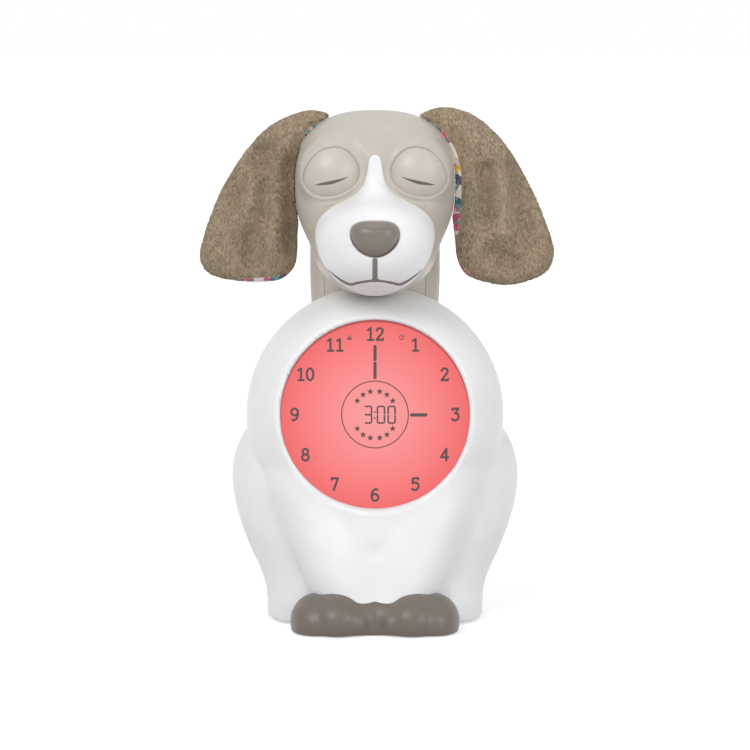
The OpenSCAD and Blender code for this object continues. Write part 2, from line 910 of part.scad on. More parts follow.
module head_front_shell() {
    color(beige)
        difference() {
            union() {
                head_half(-1);
                for (b = head_bosses)
                    post(function(p) head_form(p), b, head_split_y, -1, 3);
            }
            eye_space();
            eye_openings();
            muzzle_area(0.05);
            ear_slot(fit);
            for (b = head_bosses)
                to_front([b.x, head_split_y + cut, b.y])
                    cylinder(r = pilot_r, h = screw_length - screw_seat + 1);
        }
}
module head_rear_shell() {
    color(beige)
        difference() {
            union() {
                head_half(1);
                for (b = head_bosses)
                    post(function(p) head_form(p), b, head_split_y, 1, 3.6);
                for (x = bracket_x)
                    post_at_back(x);
            }
            for (b = head_bosses)
                screw_path(b, head_split_y);
            ear_slot(fit);
        }
}
module muzzle() {
    color("#ececec")
        difference() {
            intersection() {
                head_half(-1);
                muzzle_area(-0.05);
            }
            eye_space();
            eye_openings();
            nose_plug(fit);
            translate([0, nose_plane + 0.1, nose_z])
                rotate([90, 0, 0])
                    linear_extrude(20)
                        nose_outline(0.15);
        }
}

// ---- Nose ----
nose_z = snout_z + 6.5;           // where the nose is widest
nose_plane = -47.4;               // back of the visible part, in its pocket
nose_back = nose_plane + 4.6;
nose_front = -57.6;
nose_w = 11;
nose_up = [6.2, 3];                 // height above its widest place, and roundness there
nose_down = [9.8, 1.8];
function nose_radius(a) =
    let (v = sin(a) > 0 ? nose_up : nose_down, e = v[1])
    1 / pow(pow(abs(cos(a)) / nose_w, e) + pow(abs(sin(a)) / v[0], e), 1 / e);
module nose_outline(grow) {
    polygon([for (a = [0 : 12 : 348]) (nose_radius(a) + grow) * [cos(a), sin(a)]]);
}
module nose_plug(grow) {
    translate([0, nose_back + 2, nose_z])
        rotate([90, 0, 0])
            linear_extrude(20)
                nose_outline(grow - 1.2);
}
module nose() {
    rings = [[1, 0], [0.97, 0.34], [0.88, 0.6], [0.7, 0.83], [0.42, 0.96]];
    n = 30;
    pts = [
        for (r = [0 : 4], j = [0 : n - 1])
            let (a = 12 * j, s = rings[r][0] * nose_radius(a))
            [s * cos(a), nose_plane + (nose_front - nose_plane) * rings[r][1], nose_z + s * sin(a)]
    ];
    color(taupe)
        union() {
            polyhedron(
                concat(pts, [[0, nose_front, nose_z], [0, nose_plane, nose_z]]),
                [
                    for (r = [0 : 3], j = [0 : n - 1])
                        let (a = r * n + j, b = r * n + (j + 1) % n)
                        each [[a, b + n, b], [a, a + n, b + n]],
                    for (j = [0 : n - 1]) [4 * n + j, 5 * n, 4 * n + (j + 1) % n],
                    for (j = [0 : n - 1]) [j, (j + 1) % n, 5 * n + 1]
                ]
            );
            intersection() {
                nose_plug(0);
                translate([-20, nose_plane - cut, nose_z - 20])
                    cube([40, nose_back - nose_plane + 2, 40]);
            }
        }
}

// ---- Eyes and their drive ----
eye_c = [0, eye_y, eye_z];
eye_flat = 5.3;                    // inner face of each eyeball
eye_socket_depth = 9;              // how far past its centre the axle reaches into an eyeball
module eyeball() {
    inner = eye_x - eye_flat;
    color("#c2b8af")
        translate([eye_x, eye_y, eye_z])
            rotate([0, 90, 0])
                rotate_extrude($fn = 64)
                    difference() {
                        intersection() {
                            circle(r = eye_r);
                            translate([0, -inner])
                                square([eye_r + 1, inner + eye_r + 1]);
                        }
                        translate([-1, -inner - 1])
                            square([1 + axle_d / 2 + 0.02, 1 + inner + eye_socket_depth]);
                    }
}
module eye_right() {
    eyeball();
}
module eye_left() {
    mirror([1, 0, 0])
        eyeball();
}
module eye_axle() {
    color(steel)
        translate([-eye_x - eye_socket_depth + 0.2, eye_y, eye_z])
            rotate([0, 90, 0])
                cylinder(d = axle_d, h = 2 * (eye_x + eye_socket_depth - 0.2));
}

// Involute teeth: the flank of one tooth, from root to tip
pressure = 20;
backlash = 0.12;
function involute(rb, r) = let (t = sqrt(max(0, r * r / (rb * rb) - 1))) t * 180 / PI - atan(t);
function tooth_half(r, z, rb) =
    90 / z - backlash / (gear_m * z / 2) * 90 / PI / 2 + involute(rb, gear_m * z / 2) - involute(rb, r);
module gear_outline(z) {
    rp = gear_m * z / 2;
    rb = rp * cos(pressure);
    root = rp - 1.15 * gear_m;
    tip = rp + 0.85 * gear_m;
    low = max(root + 0.05, rb);
    flank = [for (i = [0 : 3]) let (r = low + (tip - low) * i / 3) [r, tooth_half(r, z, rb)]];
    polygon([
        for (k = [0 : z - 1])
            let (c = 360 * k / z)
            each concat(
                [root * [cos(c - tooth_half(low, z, rb)), sin(c - tooth_half(low, z, rb))]],
                [for (f = flank) f[0] * [cos(c - f[1]), sin(c - f[1])]],
                [for (i = [3 : -1 : 0]) let (f = flank[i]) f[0] * [cos(c + f[1]), sin(c + f[1])]],
                [root * [cos(c + tooth_half(low, z, rb)), sin(c + tooth_half(low, z, rb))]]
            )
    ]);
}
// A gear on the X axis, turned so that tooth or gap number zero faces the back
module gear_at(y, z, turn, bore, hub) {
    translate([0, y, eye_z])
        rotate([90, 0, 90])
            rotate([0, 0, turn])
                difference() {
                    union() {
                        translate([0, 0, -gear_w / 2])
                            linear_extrude(gear_w)
                                gear_outline(z);
                        translate([0, 0, -hub / 2])
                            cylinder(r = bore + 1.4, h = hub);
                    }
                    translate([0, 0, -5])
                        cylinder(r = bore, h = 10);
                }
}
idler_y = eye_y + gear_m * (eye_teeth + idler_teeth) / 2;
pinion_y = idler_y + gear_m * (idler_teeth + pinion_teeth) / 2;
arm_in = 1.7;                      // inner face of a bracket arm
arm_out = 4.7;
module eye_gear() {
    color("#e6e2d8")
        gear_at(eye_y, eye_teeth, 0, axle_d / 2 + 0.02, 2 * arm_in - 0.2);
}
// Facing tooth of the idler is a gap: it is turned by half a tooth, counted from the front
module idler_gear() {
    color("#e6e2d8")
        gear_at(idler_y, idler_teeth, 180 + 180 / idler_teeth, 1.05, 2 * arm_in - 0.2);
}
idler_back = (180 + 180 / idler_teeth) % (360 / idler_teeth);
pinion_turn = 180 - idler_back * idler_teeth / pinion_teeth + 180 / pinion_teeth;
module motor_pinion() {
    color("#c9a24a") {
        gear_at(pinion_y, pinion_teeth, pinion_turn, 1, gear_w);
        translate([-gear_w / 2, pinion_y, eye_z])
            rotate([0, 90, 0])
                cylinder(r = 1, h = gear_w / 2 + arm_out + 3);
    }
}
module idler_pin() {
    color(steel)
        translate([-arm_out, idler_y, eye_z])
            rotate([0, 90, 0])
                cylinder(r = 1, h = 2 * arm_out);
}
motor_r = 6;
motor_l = 16;
module eye_motor() {
    color(steel)
        translate([arm_out, pinion_y, eye_z])
            rotate([0, 90, 0])
                difference() {
                    cylinder(r = motor_r, h = motor_l);
                    translate([0, 0, -cut])
                        cylinder(r = 1.05, h = 3.5);
                }
}
bracket_back = pinion_y + 9;
bracket_x = [-13, 13];
module eye_bracket() {
    color("#8f8b85")
        difference() {
            union() {
                both_sides()
                    translate([arm_in, 0, eye_z])
                        rotate([90, 0, 90])
                            linear_extrude(arm_out - arm_in)
                                union() {
                                    translate([eye_y, 0])
                                        circle(r = 4);
                                    translate([eye_y, -4])
                                        square([bracket_back - eye_y + 1, 8]);
                                    translate([pinion_y, 0])
                                        circle(r = 6.6);
                                }
                translate([-17.5, bracket_back, eye_z - 6])
                    cube([35, 2.4, 12]);
            }
            translate([-10, eye_y, eye_z])
                rotate([0, 90, 0])
                    cylinder(r = axle_d / 2 + 0.05, h = 20);
            translate([-10, idler_y, eye_z])
                rotate([0, 90, 0])
                    cylinder(r = 1, h = 20);
            translate([-10, pinion_y, eye_z])
                rotate([0, 90, 0])
                    cylinder(r = 1.3, h = 20);
            for (x = bracket_x)
                to_back([x, bracket_back - 1, eye_z])
                    cylinder(r = screw_r, h = 6);
        }
}
module post_at_back(x) {
    reach_y = surface_y(function(p) head_form(p), x, eye_z, 1, -wall / 2, head_split_y);
    difference() {
        to_back([x, bracket_back + 2.4, eye_z])
            cylinder(r = 3.2, h = reach_y - bracket_back - 2.4);
        to_back([x, bracket_back + 2, eye_z])
            cylinder(r = pilot_r, h = 6.4);
    }
}
// The same screw holds the eye bracket, the light box and the paws
module bracket_screws() {
    color(steel) {
        for (x = bracket_x)
            to_front([x, bracket_back + small_screw_l, eye_z])
                small_screw();
        for (a = lug_angles)
            on_dial(lug_h - lug_t - 0.05 + small_screw_l)
                at_angle(a)
                    rotate([180, 0, 0])
                        small_screw();
        both_sides()
            to_back([paw_screw.x, base_front + paw_wall.y - small_screw_l, paw_screw.y])
                small_screw();
    }
}

// ---- Ears ----
ear_slot_angle = 40;
ear_y = 13;
ear_k = ear_length / 78;
ear_root = [21.5, head_z + 31];
// Half of the outline, from the root outwards and round, measured from the root
ear_outline = [
    [0.2, 0.6], [9, 3.4], [22, -1.6], [34.5, -12], [44, -26], [50.5, -40], [57, -56], [59, -64], [56, -72],
    [42, -76.4], [28, -74.8], [17.6, -68], [14.6, -58], [14.4, -40], [14.4, -20], [11.4, -8.6], [5, -2.2]
];
ear_centre = [36, -42];
module ear() {
    n = len(ear_outline);
    rings = [[1, 0.18], [0.93, 0.62], [0.72, 0.92], [0.36, 1]];
    function at(r, side) = [
        for (p = ear_outline)
            let (q = ear_centre + (p - ear_centre) * rings[r][0])
            [
                ear_root.x + ear_k * q.x,
                ear_y + ear_lean(q.y) + side * ear_t / 2 * rings[r][1],
                ear_root.y + ear_k * q.y
            ]
    ];
    mid = [
        ear_root.x + ear_k * ear_centre.x,
        ear_y + ear_lean(ear_centre.y),
        ear_root.y + ear_k * ear_centre.y
    ];
    pts = concat(
        [for (r = [0 : 3]) each at(r, -1)], [mid - [0, ear_t / 2, 0]],
        [for (r = [0 : 3]) each at(r, 1)], [mid + [0, ear_t / 2, 0]]
    );
    m = 4 * n + 1;
    front = [
        for (r = [0 : 2], j = [0 : n - 1])
            let (a = r * n + j, b = r * n + (j + 1) % n)
            each [[a, b, b + n], [a, b + n, a + n]],
        for (j = [0 : n - 1]) [3 * n + j, 3 * n + (j + 1) % n, 4 * n]
    ];
    rim = [for (j = [0 : n - 1]) let (k = (j + 1) % n) each [[j, m + j, m + k], [j, m + k, k]]];
    polyhedron(pts, concat(front, [for (t = front) [t[0] + m, t[2] + m, t[1] + m]], rim));
}
function ear_lean(v) = v / 12;
module ear_right() {
    color("#9a8c77")
        ear();
}
module ear_left() {
    color("#9a8c77")
        mirror([1, 0, 0])
            ear();
}
module ear_clamp() {
    color("#8f8b85")
        translate([0, head_split_y, head_z])
            rotate([0, ear_slot_angle, 0])
                union() {
                    translate([-1, -6, 26])
                        cube([2, 12, 8.6]);
                    translate([-3.5, -8, 24])
                        cube([7, 16, 3]);
                }
}
module ear_clamp_right() {
    ear_clamp();
}
module ear_clamp_left() {
    mirror([1, 0, 0])
        ear_clamp();
}

// ---- Screws ----
module body_screws() {
    color(steel)
        for (b = body_bosses)
            screw(b, split_y);
}
module head_screws() {
    color(steel)
        for (b = head_bosses)
            screw(b, head_split_y);
}
module base_screws() {
    color(steel)
        both_sides()
            for (h = base_holes)
                translate([h.x, h.y, base_z + 0.2]) {
                    cylinder(r = pilot_r, h = base_post_h);
                    cylinder(r = screw_head_r, h = 0.8);
                }
}
module board_screws() {
    color(steel)
        for (h = board_holes)
            to_front([h.x, board_y + board_grip, h.y])
                small_screw(board_grip);
}

body_front_shell();
body_rear_shell();
base_plate();
battery_door();
battery_door_screw();
batteries();
battery_contacts();
rubber_feet();
paws();
dial_lens();
dial_frame();
lcd_panel();
light_box_shell();
led_board();
leds();
main_board();
tact_switches();
control_panel();
push_button(0, 0);  // button_up
push_button(1, 0);  // button_down
push_button(2, 0);  // button_set
push_button(0, 1);  // button_alarm
push_button(1, 1);  // button_light
push_button(2, 1);  // button_volume
lock_switch_knob();
lock_switch_body();
speaker();
speaker_grille();
speaker_ring();
dc_jack();
neck_collar();
head_front_shell();
head_rear_shell();
muzzle();
nose();
eye_left();
eye_right();
eye_axle();
eye_gear();
idler_gear();
idler_pin();
motor_pinion();
eye_motor();
eye_bracket();
ear_left();
ear_right();
ear_clamp_left();
ear_clamp_right();
body_screws();
head_screws();
base_screws();
board_screws();
bracket_screws();
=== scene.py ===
"""The looks of a child's alarm clock and night light in the shape of a sitting dog, round its frame."""
from copy import copy
from math import cos, pi, radians, sin

import bpy
import numpy as np
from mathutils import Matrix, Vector, noise


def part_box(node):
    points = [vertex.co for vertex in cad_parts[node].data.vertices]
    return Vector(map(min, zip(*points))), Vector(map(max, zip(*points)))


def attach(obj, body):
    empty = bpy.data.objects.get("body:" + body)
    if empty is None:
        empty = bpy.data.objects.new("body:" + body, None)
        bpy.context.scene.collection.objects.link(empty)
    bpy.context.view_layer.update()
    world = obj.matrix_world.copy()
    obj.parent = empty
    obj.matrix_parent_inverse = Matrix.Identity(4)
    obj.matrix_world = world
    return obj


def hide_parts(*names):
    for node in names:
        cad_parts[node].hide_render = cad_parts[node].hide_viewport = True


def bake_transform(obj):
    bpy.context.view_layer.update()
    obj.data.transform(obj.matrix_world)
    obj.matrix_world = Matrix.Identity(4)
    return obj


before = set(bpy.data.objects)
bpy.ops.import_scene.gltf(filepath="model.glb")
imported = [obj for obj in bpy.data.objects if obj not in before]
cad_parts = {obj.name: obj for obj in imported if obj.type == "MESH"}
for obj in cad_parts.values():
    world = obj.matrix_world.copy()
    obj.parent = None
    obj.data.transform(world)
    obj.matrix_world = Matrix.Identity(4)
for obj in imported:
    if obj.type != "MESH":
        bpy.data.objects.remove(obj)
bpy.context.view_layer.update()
MM = 0.001                              # lengths below are in millimetres unless they say otherwise
NOWHERE = -99                           # what a side says of places that it isn't about

# -------- fields: below zero is inside


def blend(a, b, k):
    """The lower of two fields, rounded over k."""
    h = np.clip(0.5 + 0.5 * (b - a) / k, 0, 1)
    return b * (1 - h) + a * h - k * h * (1 - h)


def trim(a, b, k):
    """The higher of two fields, rounded over k."""
    return -blend(-a, -b, k)


def lump(p, centre, radii, e):
    """An ellipsoid, and squarer the more e is over 2."""
    q = np.abs((p - centre) / radii)
    return ((q ** e).sum(-1) ** (1 / e) - 1) * min(radii)


def limb(p, a, b, r):
    """A rod with round ends."""
    a, d = np.array(a), np.subtract(b, a)
    t = np.clip((p - a) @ d / (d @ d), 0, 1)
    return np.linalg.norm(p - a - t[:, None] * d, axis=1) - r


def ball(centre, r):
    return lambda p: np.linalg.norm(p - centre, axis=1) - r


def swell(f, p, centre, radii, e, k):
    """A field with one more lump in it, rounded over k."""
    return blend(f, lump(p, centre, radii, e), k)


def either_side(p):
    """The same points on the +X side."""
    return np.abs(p * [1, 0, 0]) + p * [0, 1, 1]


TORSO_C = np.array([0, 6, 92.0])
TORSO_R = 58.6
TORSO_FRONT, TORSO_BACK, TORSO_E = 49, 52, 2.35
TILT = radians(6.5)
DIAL_N = np.array([0, -cos(TILT), sin(TILT)])
DIAL_UP = np.array([0, sin(TILT), cos(TILT)])
SPLIT_Y = 10
BASE_Z = 1.2
WALL = 2.2


def off_axis(p):
    """Height along the dial's axis and distance from it."""
    q = p - TORSO_C
    h = q @ DIAL_N
    return h, np.sqrt(np.maximum((q * q).sum(-1) - h * h, 0))


def torso(p):
    h, r = off_axis(p)
    depth = np.where(h > 0, TORSO_FRONT, TORSO_BACK)
    return (((r / TORSO_R) ** TORSO_E + (np.abs(h) / depth) ** TORSO_E) ** (1 / TORSO_E) - 1) * TORSO_FRONT


# Forms of the lower body: centre, radii, squareness and the width over which each blends into the rest
SEAT = (0, 16, 44), (45, 40, 50), 2.3, 10
HAUNCH = (33.5, 14, 63.1), (32, 34, 34.6), 2.05, 1.2
FLANK = (31, 14, 33), (23, 34, 20.8), 2.3, 17.5
FOOT = (29.8, 8, 4), (19.4, 34, 25), 2.4, 7
BELLY = (0, -16, 30), (21, 28, 52), 2.2, 9
FORELEG = (31, -17, 62), (7, -34, 6), 16        # ends and radius
FORELEG_BLEND = 5
DIMPLE = np.array([0, -45, 36.5])
DIMPLE_R, DIMPLE_DEPTH = 3.6, 0.9


def trunk(p):
    q = either_side(p)
    f = torso(p)
    for form in (SEAT, HAUNCH, FLANK):
        f = swell(f, q, *form)
    f = blend(f, limb(q, *FORELEG), FORELEG_BLEND)
    for form in (FOOT, BELLY):
        f = swell(f, q, *form)
    return f + DIMPLE_DEPTH * np.exp(-((q - DIMPLE) ** 2).sum(-1) / DIMPLE_R ** 2)


DIAL_R = 41.8
LENS_SINK = 1.4                         # how far the lens lies behind the torso's own form at its edge
LENS_FACE = TORSO_FRONT * (1 - (DIAL_R / TORSO_R) ** TORSO_E) ** (1 / TORSO_E) - LENS_SINK
RIM_ROUND = 3.6


def body_skin(p):
    """The trunk with the dial's opening sunk into it."""
    h, r = off_axis(p)
    return np.where(h > 0, trim(trunk(p), DIAL_R - r, RIM_ROUND), trunk(p))


HEAD_Z, HEAD_Y = 196, 15
HEAD_SPLIT = 16
EYE = np.array([18.3, -8.5, 203])
EYE_R = 15.3
EYE_BAY = 13.2                          # the face is hollowed that far round each eye's axis
SNOUT_Z = 171.5
SNOUT_UP, CHIN_DOWN = 21.5, 23.1        # height of the snout above and below its middle
NECK_FOOT = 118.6
NECK = (29.9, 20)
NECK_Y, NECK_E = 31, 2.6
CHIN_GAP = 0.9                          # air between the chin and the torso
# Forms of the head: centre, radii, squareness and blend
SKULL = (0, HEAD_Y, HEAD_Z), (36.3, 37, 34), 2.6
SNOUT = (0, -20, SNOUT_Z), (28, 34, SNOUT_UP), 2.05, 12
SOCKET = EYE, (16.4, 16.4, 16.4), 2, 3
THROAT = (0, NECK_Y, HEAD_Z - 36), (*NECK, 60), NECK_E, 5


def head(p):
    q = either_side(p)
    f = lump(q, *SKULL)
    lower_jaw = np.maximum(SNOUT_Z - q[:, 2:], 0) * (1 - SNOUT_UP / CHIN_DOWN)
    f = swell(f, q + [0, 0, 1] * lower_jaw, *SNOUT)
    f = trim(f, -limb(q, EYE, EYE + (0, -30, 0), EYE_BAY), 5)
    f = swell(f, q, *SOCKET)
    f = trim(f, CHIN_GAP - torso(p), 1.5)
    return swell(f, q, *THROAT)


# Forms of a paw, and of the bridge between the two
MIDDLE_TOE = (16.5, -40.2, 6), (12.6, 18.8, 12.3), 2.2
OUTER_TOE = (25.6, -38.5, 4.5), (12.1, 17.5, 12.4), 2.05, 1.3
INNER_TOE = (7.5, -40, 5), (7.5, 16.2, 9.5), 2, 1.5
BRIDGE = (0, -37.5, 4), (12, 14.5, 12.4), 3, 2.5


def paw_pair(p):
    q = either_side(p)
    f = lump(q, *MIDDLE_TOE)
    for form in (OUTER_TOE, INNER_TOE, BRIDGE):
        f = swell(f, q, *form)
    return f

# -------- skins: surfaces that lie on a field

CORNERS = np.array([(x, y, z) for x in (0, 1) for y in (0, 1) for z in (0, 1)])
EDGES = [(a, b) for a in range(8) for b in range(a + 1, 8) if np.abs(CORNERS[a] - CORNERS[b]).sum() == 1]


def gradient(f, p, e=0.02):
    return np.stack([(f(p + d) - f(p - d)) / (2 * e) for d in np.eye(3) * e], -1)


def unit(v):
    return v / np.maximum(np.linalg.norm(v, axis=-1, keepdims=True), 1e-9)


def settle(f, p, rounds=2, reach=0.5):
    """Moves points onto the zero of a field."""
    for _ in range(rounds):
        g = gradient(f, p)
        step = -(f(p) / np.maximum((g * g).sum(-1), 1e-6))[:, None] * g
        size = np.linalg.norm(step, axis=1, keepdims=True)
        p = p + step * np.minimum(1, reach / np.maximum(size, 1e-9))
    return p


class Skin:
    """Points, and faces of four points each; a triangle's fourth is -1."""

    def __init__(self, f, points, faces):
        self.f, self.points, self.faces = f, points, faces
        self.normals = unit(gradient(f, points))
        self.fixed = np.zeros(len(points), bool)    # points that a row of edges runs through


def sample(f, lo, step, blocks, size=4):
    """Values on a grid, worked out only in the blocks that the surface passes near."""
    middle = [lo[k] + (np.arange(blocks[k]) + 0.5) * step * size for k in range(3)]
    coarse = f(np.stack(np.meshgrid(*middle, indexing="ij"), -1).reshape(-1, 3)).reshape(blocks)
    values = coarse.repeat(size, 0).repeat(size, 1).repeat(size, 2)
    near = np.argwhere(np.abs(coarse) < step * size * 1.6)
    local = np.stack(np.meshgrid(*[np.arange(size)] * 3, indexing="ij"), -1).reshape(-1, 3)
    at = (near[:, None] * size + local).reshape(-1, 3)
    values[tuple(at.T)] = f(lo + at * step)
    return values


def net(f, lo, hi, step):
    """The surface of a field inside a box, as a net of quads about one step wide."""
    lo = np.array(lo, float)
    v = sample(f, lo, step, np.ceil((np.array(hi) - lo) / (step * 4)).astype(int))
    inside = v < 0
    n = np.array(v.shape) - 1
    count = sum(inside[c[0]:c[0] + n[0], c[1]:c[1] + n[1], c[2]:c[2] + n[2]].astype(int) for c in CORNERS)
    cells = np.argwhere((count > 0) & (count < 8))
    index = -np.ones(n, int)
    index[tuple(cells.T)] = np.arange(len(cells))
    values = np.stack([v[tuple((cells + c).T)] for c in CORNERS], 1)
    total, hits = np.zeros((len(cells), 3)), np.zeros(len(cells))
    for a, b in EDGES:
        crossing = (values[:, a] < 0) != (values[:, b] < 0)
        t = values[:, a] / np.where(crossing, values[:, a] - values[:, b], 1)
        total += np.where(crossing[:, None], CORNERS[a] + t[:, None] * (CORNERS[b] - CORNERS[a]), 0)
        hits += crossing
    points = settle(f, lo + (cells + total / hits[:, None]) * step, 2, step / 2)
    quads = []
    for k in range(3):
        i, j = (k + 1) % 3, (k + 2) % 3
        low = inside[tuple(slice(1, -1) if d != k else slice(0, -1) for d in range(3))]
        high = inside[tuple(slice(1, -1) if d != k else slice(1, None) for d in range(3))]
        for crossing, order in ((low & ~high, 1), (~low & high, -1)):
            base = np.argwhere(crossing)
            ring = []
            for di, dj in ((0, 0), (1, 0), (1, 1), (0, 1)):
                c = base.copy()
                c[:, i] += di
                c[:, j] += dj
                ring.append(index[tuple(c.T)])
            quads.append(np.stack(ring, 1)[:, ::order])
    return Skin(f, points, np.concatenate(quads))


def split_edges(faces):
    """Every edge of every face, as pairs in the face's own order."""
    size = np.where(faces[:, 3] < 0, 3, 4)
    pairs = []
    for k in range(4):
        rows = k < size
        follow = np.where(k + 1 < size[rows], faces[rows][:, (k + 1) % 4], faces[rows][:, 0])
        pairs.append(np.stack([faces[rows][:, k], follow], 1))
    return np.concatenate(pairs)


def zero_between(points, v, a, b):
    """Where a value is zero on the way from the points a to the points b."""
    t = v[a] / (v[a] - v[b])
    return points[a] + t[:, None] * (points[b] - points[a])


def cut(skin, side, levels=(0,), snap=0.2):
    """Splits faces so that rows of edges follow side == level. Points nearer than snap move onto the row."""
    for level in levels:
        v = side(skin.points) - level
        pairs = np.unique(np.sort(split_edges(skin.faces), 1), axis=0)
        a, b = pairs[(v[pairs[:, 0]] < 0) != (v[pairs[:, 1]] < 0)].T
        hit = zero_between(skin.points, v, a, b)
        ends, targets = np.concatenate([a, b]), np.concatenate([hit, hit])
        gap = np.linalg.norm(targets - skin.points[ends], axis=1)
        order = np.argsort(-gap)
        order = order[(gap[order] < snap) & ~skin.fixed[ends[order]]]
        skin.points[ends[order]] = targets[order]
        v[ends[order]] = 0
        v[np.abs(v) < 1e-4] = 0
        sign = np.sign(v).astype(int)
        quads = skin.faces[:, 3] >= 0
        signs = np.where(skin.faces >= 0, sign[skin.faces], 0)
        crossed = (signs.max(1) > 0) & (signs.min(1) < 0)
        whole = skin.faces[~crossed]
        four = skin.faces[crossed & quads]
        split = np.concatenate([skin.faces[crossed & ~quads][:, :3], four[:, [0, 1, 2]], four[:, [0, 2, 3]]])
        signs = sign[split]
        crossed = (signs.max(1) > 0) & (signs.min(1) < 0)
        done = [whole, add_fourth(split[~crossed])]
        split, signs = split[crossed], signs[crossed]
        keys = np.sort(split_edges(add_fourth(split)), 1)
        keys = keys[sign[keys[:, 0]] * sign[keys[:, 1]] < 0]
        keys = np.unique(keys, axis=0)
        fresh = zero_between(skin.points, v, *keys.T)
        first = len(skin.points)
        code = keys[:, 0] * first + keys[:, 1]

        def between(i, j):
            return first + np.searchsorted(code, np.minimum(i, j) * first + np.maximum(i, j))

        for turn in range(3):
            s = np.roll(signs, -turn, 1)
            f = np.roll(split, -turn, 1)
            one = (s[:, 0] == 0) & (s[:, 1] * s[:, 2] < 0)
            z, p, q = f[one].T
            m = between(p, q)
            done += [add_fourth(np.stack([z, p, m], 1)), add_fourth(np.stack([z, m, q], 1))]
            lone = (s[:, 0] * s[:, 1] < 0) & (s[:, 0] * s[:, 2] < 0)
            z, p, q = f[lone].T
            m1, m2 = between(z, p), between(z, q)
            done += [add_fourth(np.stack([z, m1, m2], 1)), np.stack([m1, p, q, m2], 1)]
        on_row = np.concatenate([v == 0, np.ones(len(fresh), bool)])
        skin.points = np.concatenate([skin.points, fresh])
        skin.fixed = np.concatenate([skin.fixed, np.zeros(len(fresh), bool)]) | on_row
        for _ in range(2):
            p = skin.points[on_row]
            g = gradient(side, p)
            p = p - ((side(p) - level) / np.maximum((g * g).sum(-1), 1e-6))[:, None] * g
            skin.points[on_row] = settle(skin.f, p, 1)
        skin.faces = np.concatenate(done)
    skin.normals = unit(gradient(skin.f, skin.points))
    return skin


def add_fourth(triangles):
    return np.concatenate([triangles, -np.ones((len(triangles), 1), int)], 1)


def middles(skin):
    size = np.where(skin.faces[:, 3] < 0, 3, 4)
    corners = np.where(skin.faces[..., None] >= 0, skin.points[skin.faces], 0)
    return corners.sum(1) / size[:, None]


def keep(skin, side):
    """A copy of a skin, of the faces where a side is below zero."""
    faces = skin.faces[side(middles(skin)) < 0]
    used = np.unique(faces[faces >= 0])
    place = -np.ones(len(skin.points) + 1, int)
    place[used] = np.arange(len(used))
    out = copy(skin)
    out.points, out.normals, out.fixed = skin.points[used], skin.normals[used], skin.fixed[used]
    out.faces = place[faces]
    return out


def trimmed(skin, side, levels=(0,), snap=0.2):
    """A skin cut along the zero of a side, without what lies beyond it."""
    return keep(cut(skin, side, levels, snap), side)


def grid(a, b):
    """Every pair of a value of a and a value of b, as two flat arrays."""
    return (k.ravel() for k in np.meshgrid(a, b, indexing="ij"))


def grid_faces(high, wide):
    """The quads of a grid that is that many cells high and wide."""
    i, j = grid(np.arange(high), np.arange(wide))
    n = wide + 1
    return np.stack([i * n + j, (i + 1) * n + j, (i + 1) * n + j + 1, i * n + j + 1], 1)


class Piece:
    """Points in millimetres with faces, a normal for each face corner and a material for each face."""

    def __init__(self):
        self.points, self.faces, self.normals, self.slots, self.count = [], [], [], [], 0

    def add(self, points, faces, normals, slot=0):
        """normals holds one normal for each point, or one for each face corner."""
        faces = np.asarray(faces)
        if faces.shape[1] == 3:
            faces = add_fourth(faces)
        if len(normals) == len(points) and np.ndim(normals) == 2:
            normals = np.asarray(normals)[faces]
        self.points.append(points)
        self.faces.append(np.where(faces >= 0, faces + self.count, -1))
        self.normals.append(normals)
        self.slots.append(np.full(len(faces), slot) if np.isscalar(slot) else slot)
        self.count += len(points)
        return self

    def join(self, other):
        self.points += other.points
        self.faces += [np.where(f >= 0, f + self.count, -1) for f in other.faces]
        self.normals += other.normals
        self.slots += other.slots
        self.count += other.count
        return self


def vertex_normals(points, faces):
    tri = np.concatenate([faces[:, :3], faces[faces[:, 3] >= 0][:, [0, 2, 3]]])
    a, b, c = points[tri[:, 0]], points[tri[:, 1]], points[tri[:, 2]]
    n = np.cross(b - a, c - a)
    total = np.zeros_like(points)
    for k in range(3):
        np.add.at(total, tri[:, k], n)
    return unit(total)


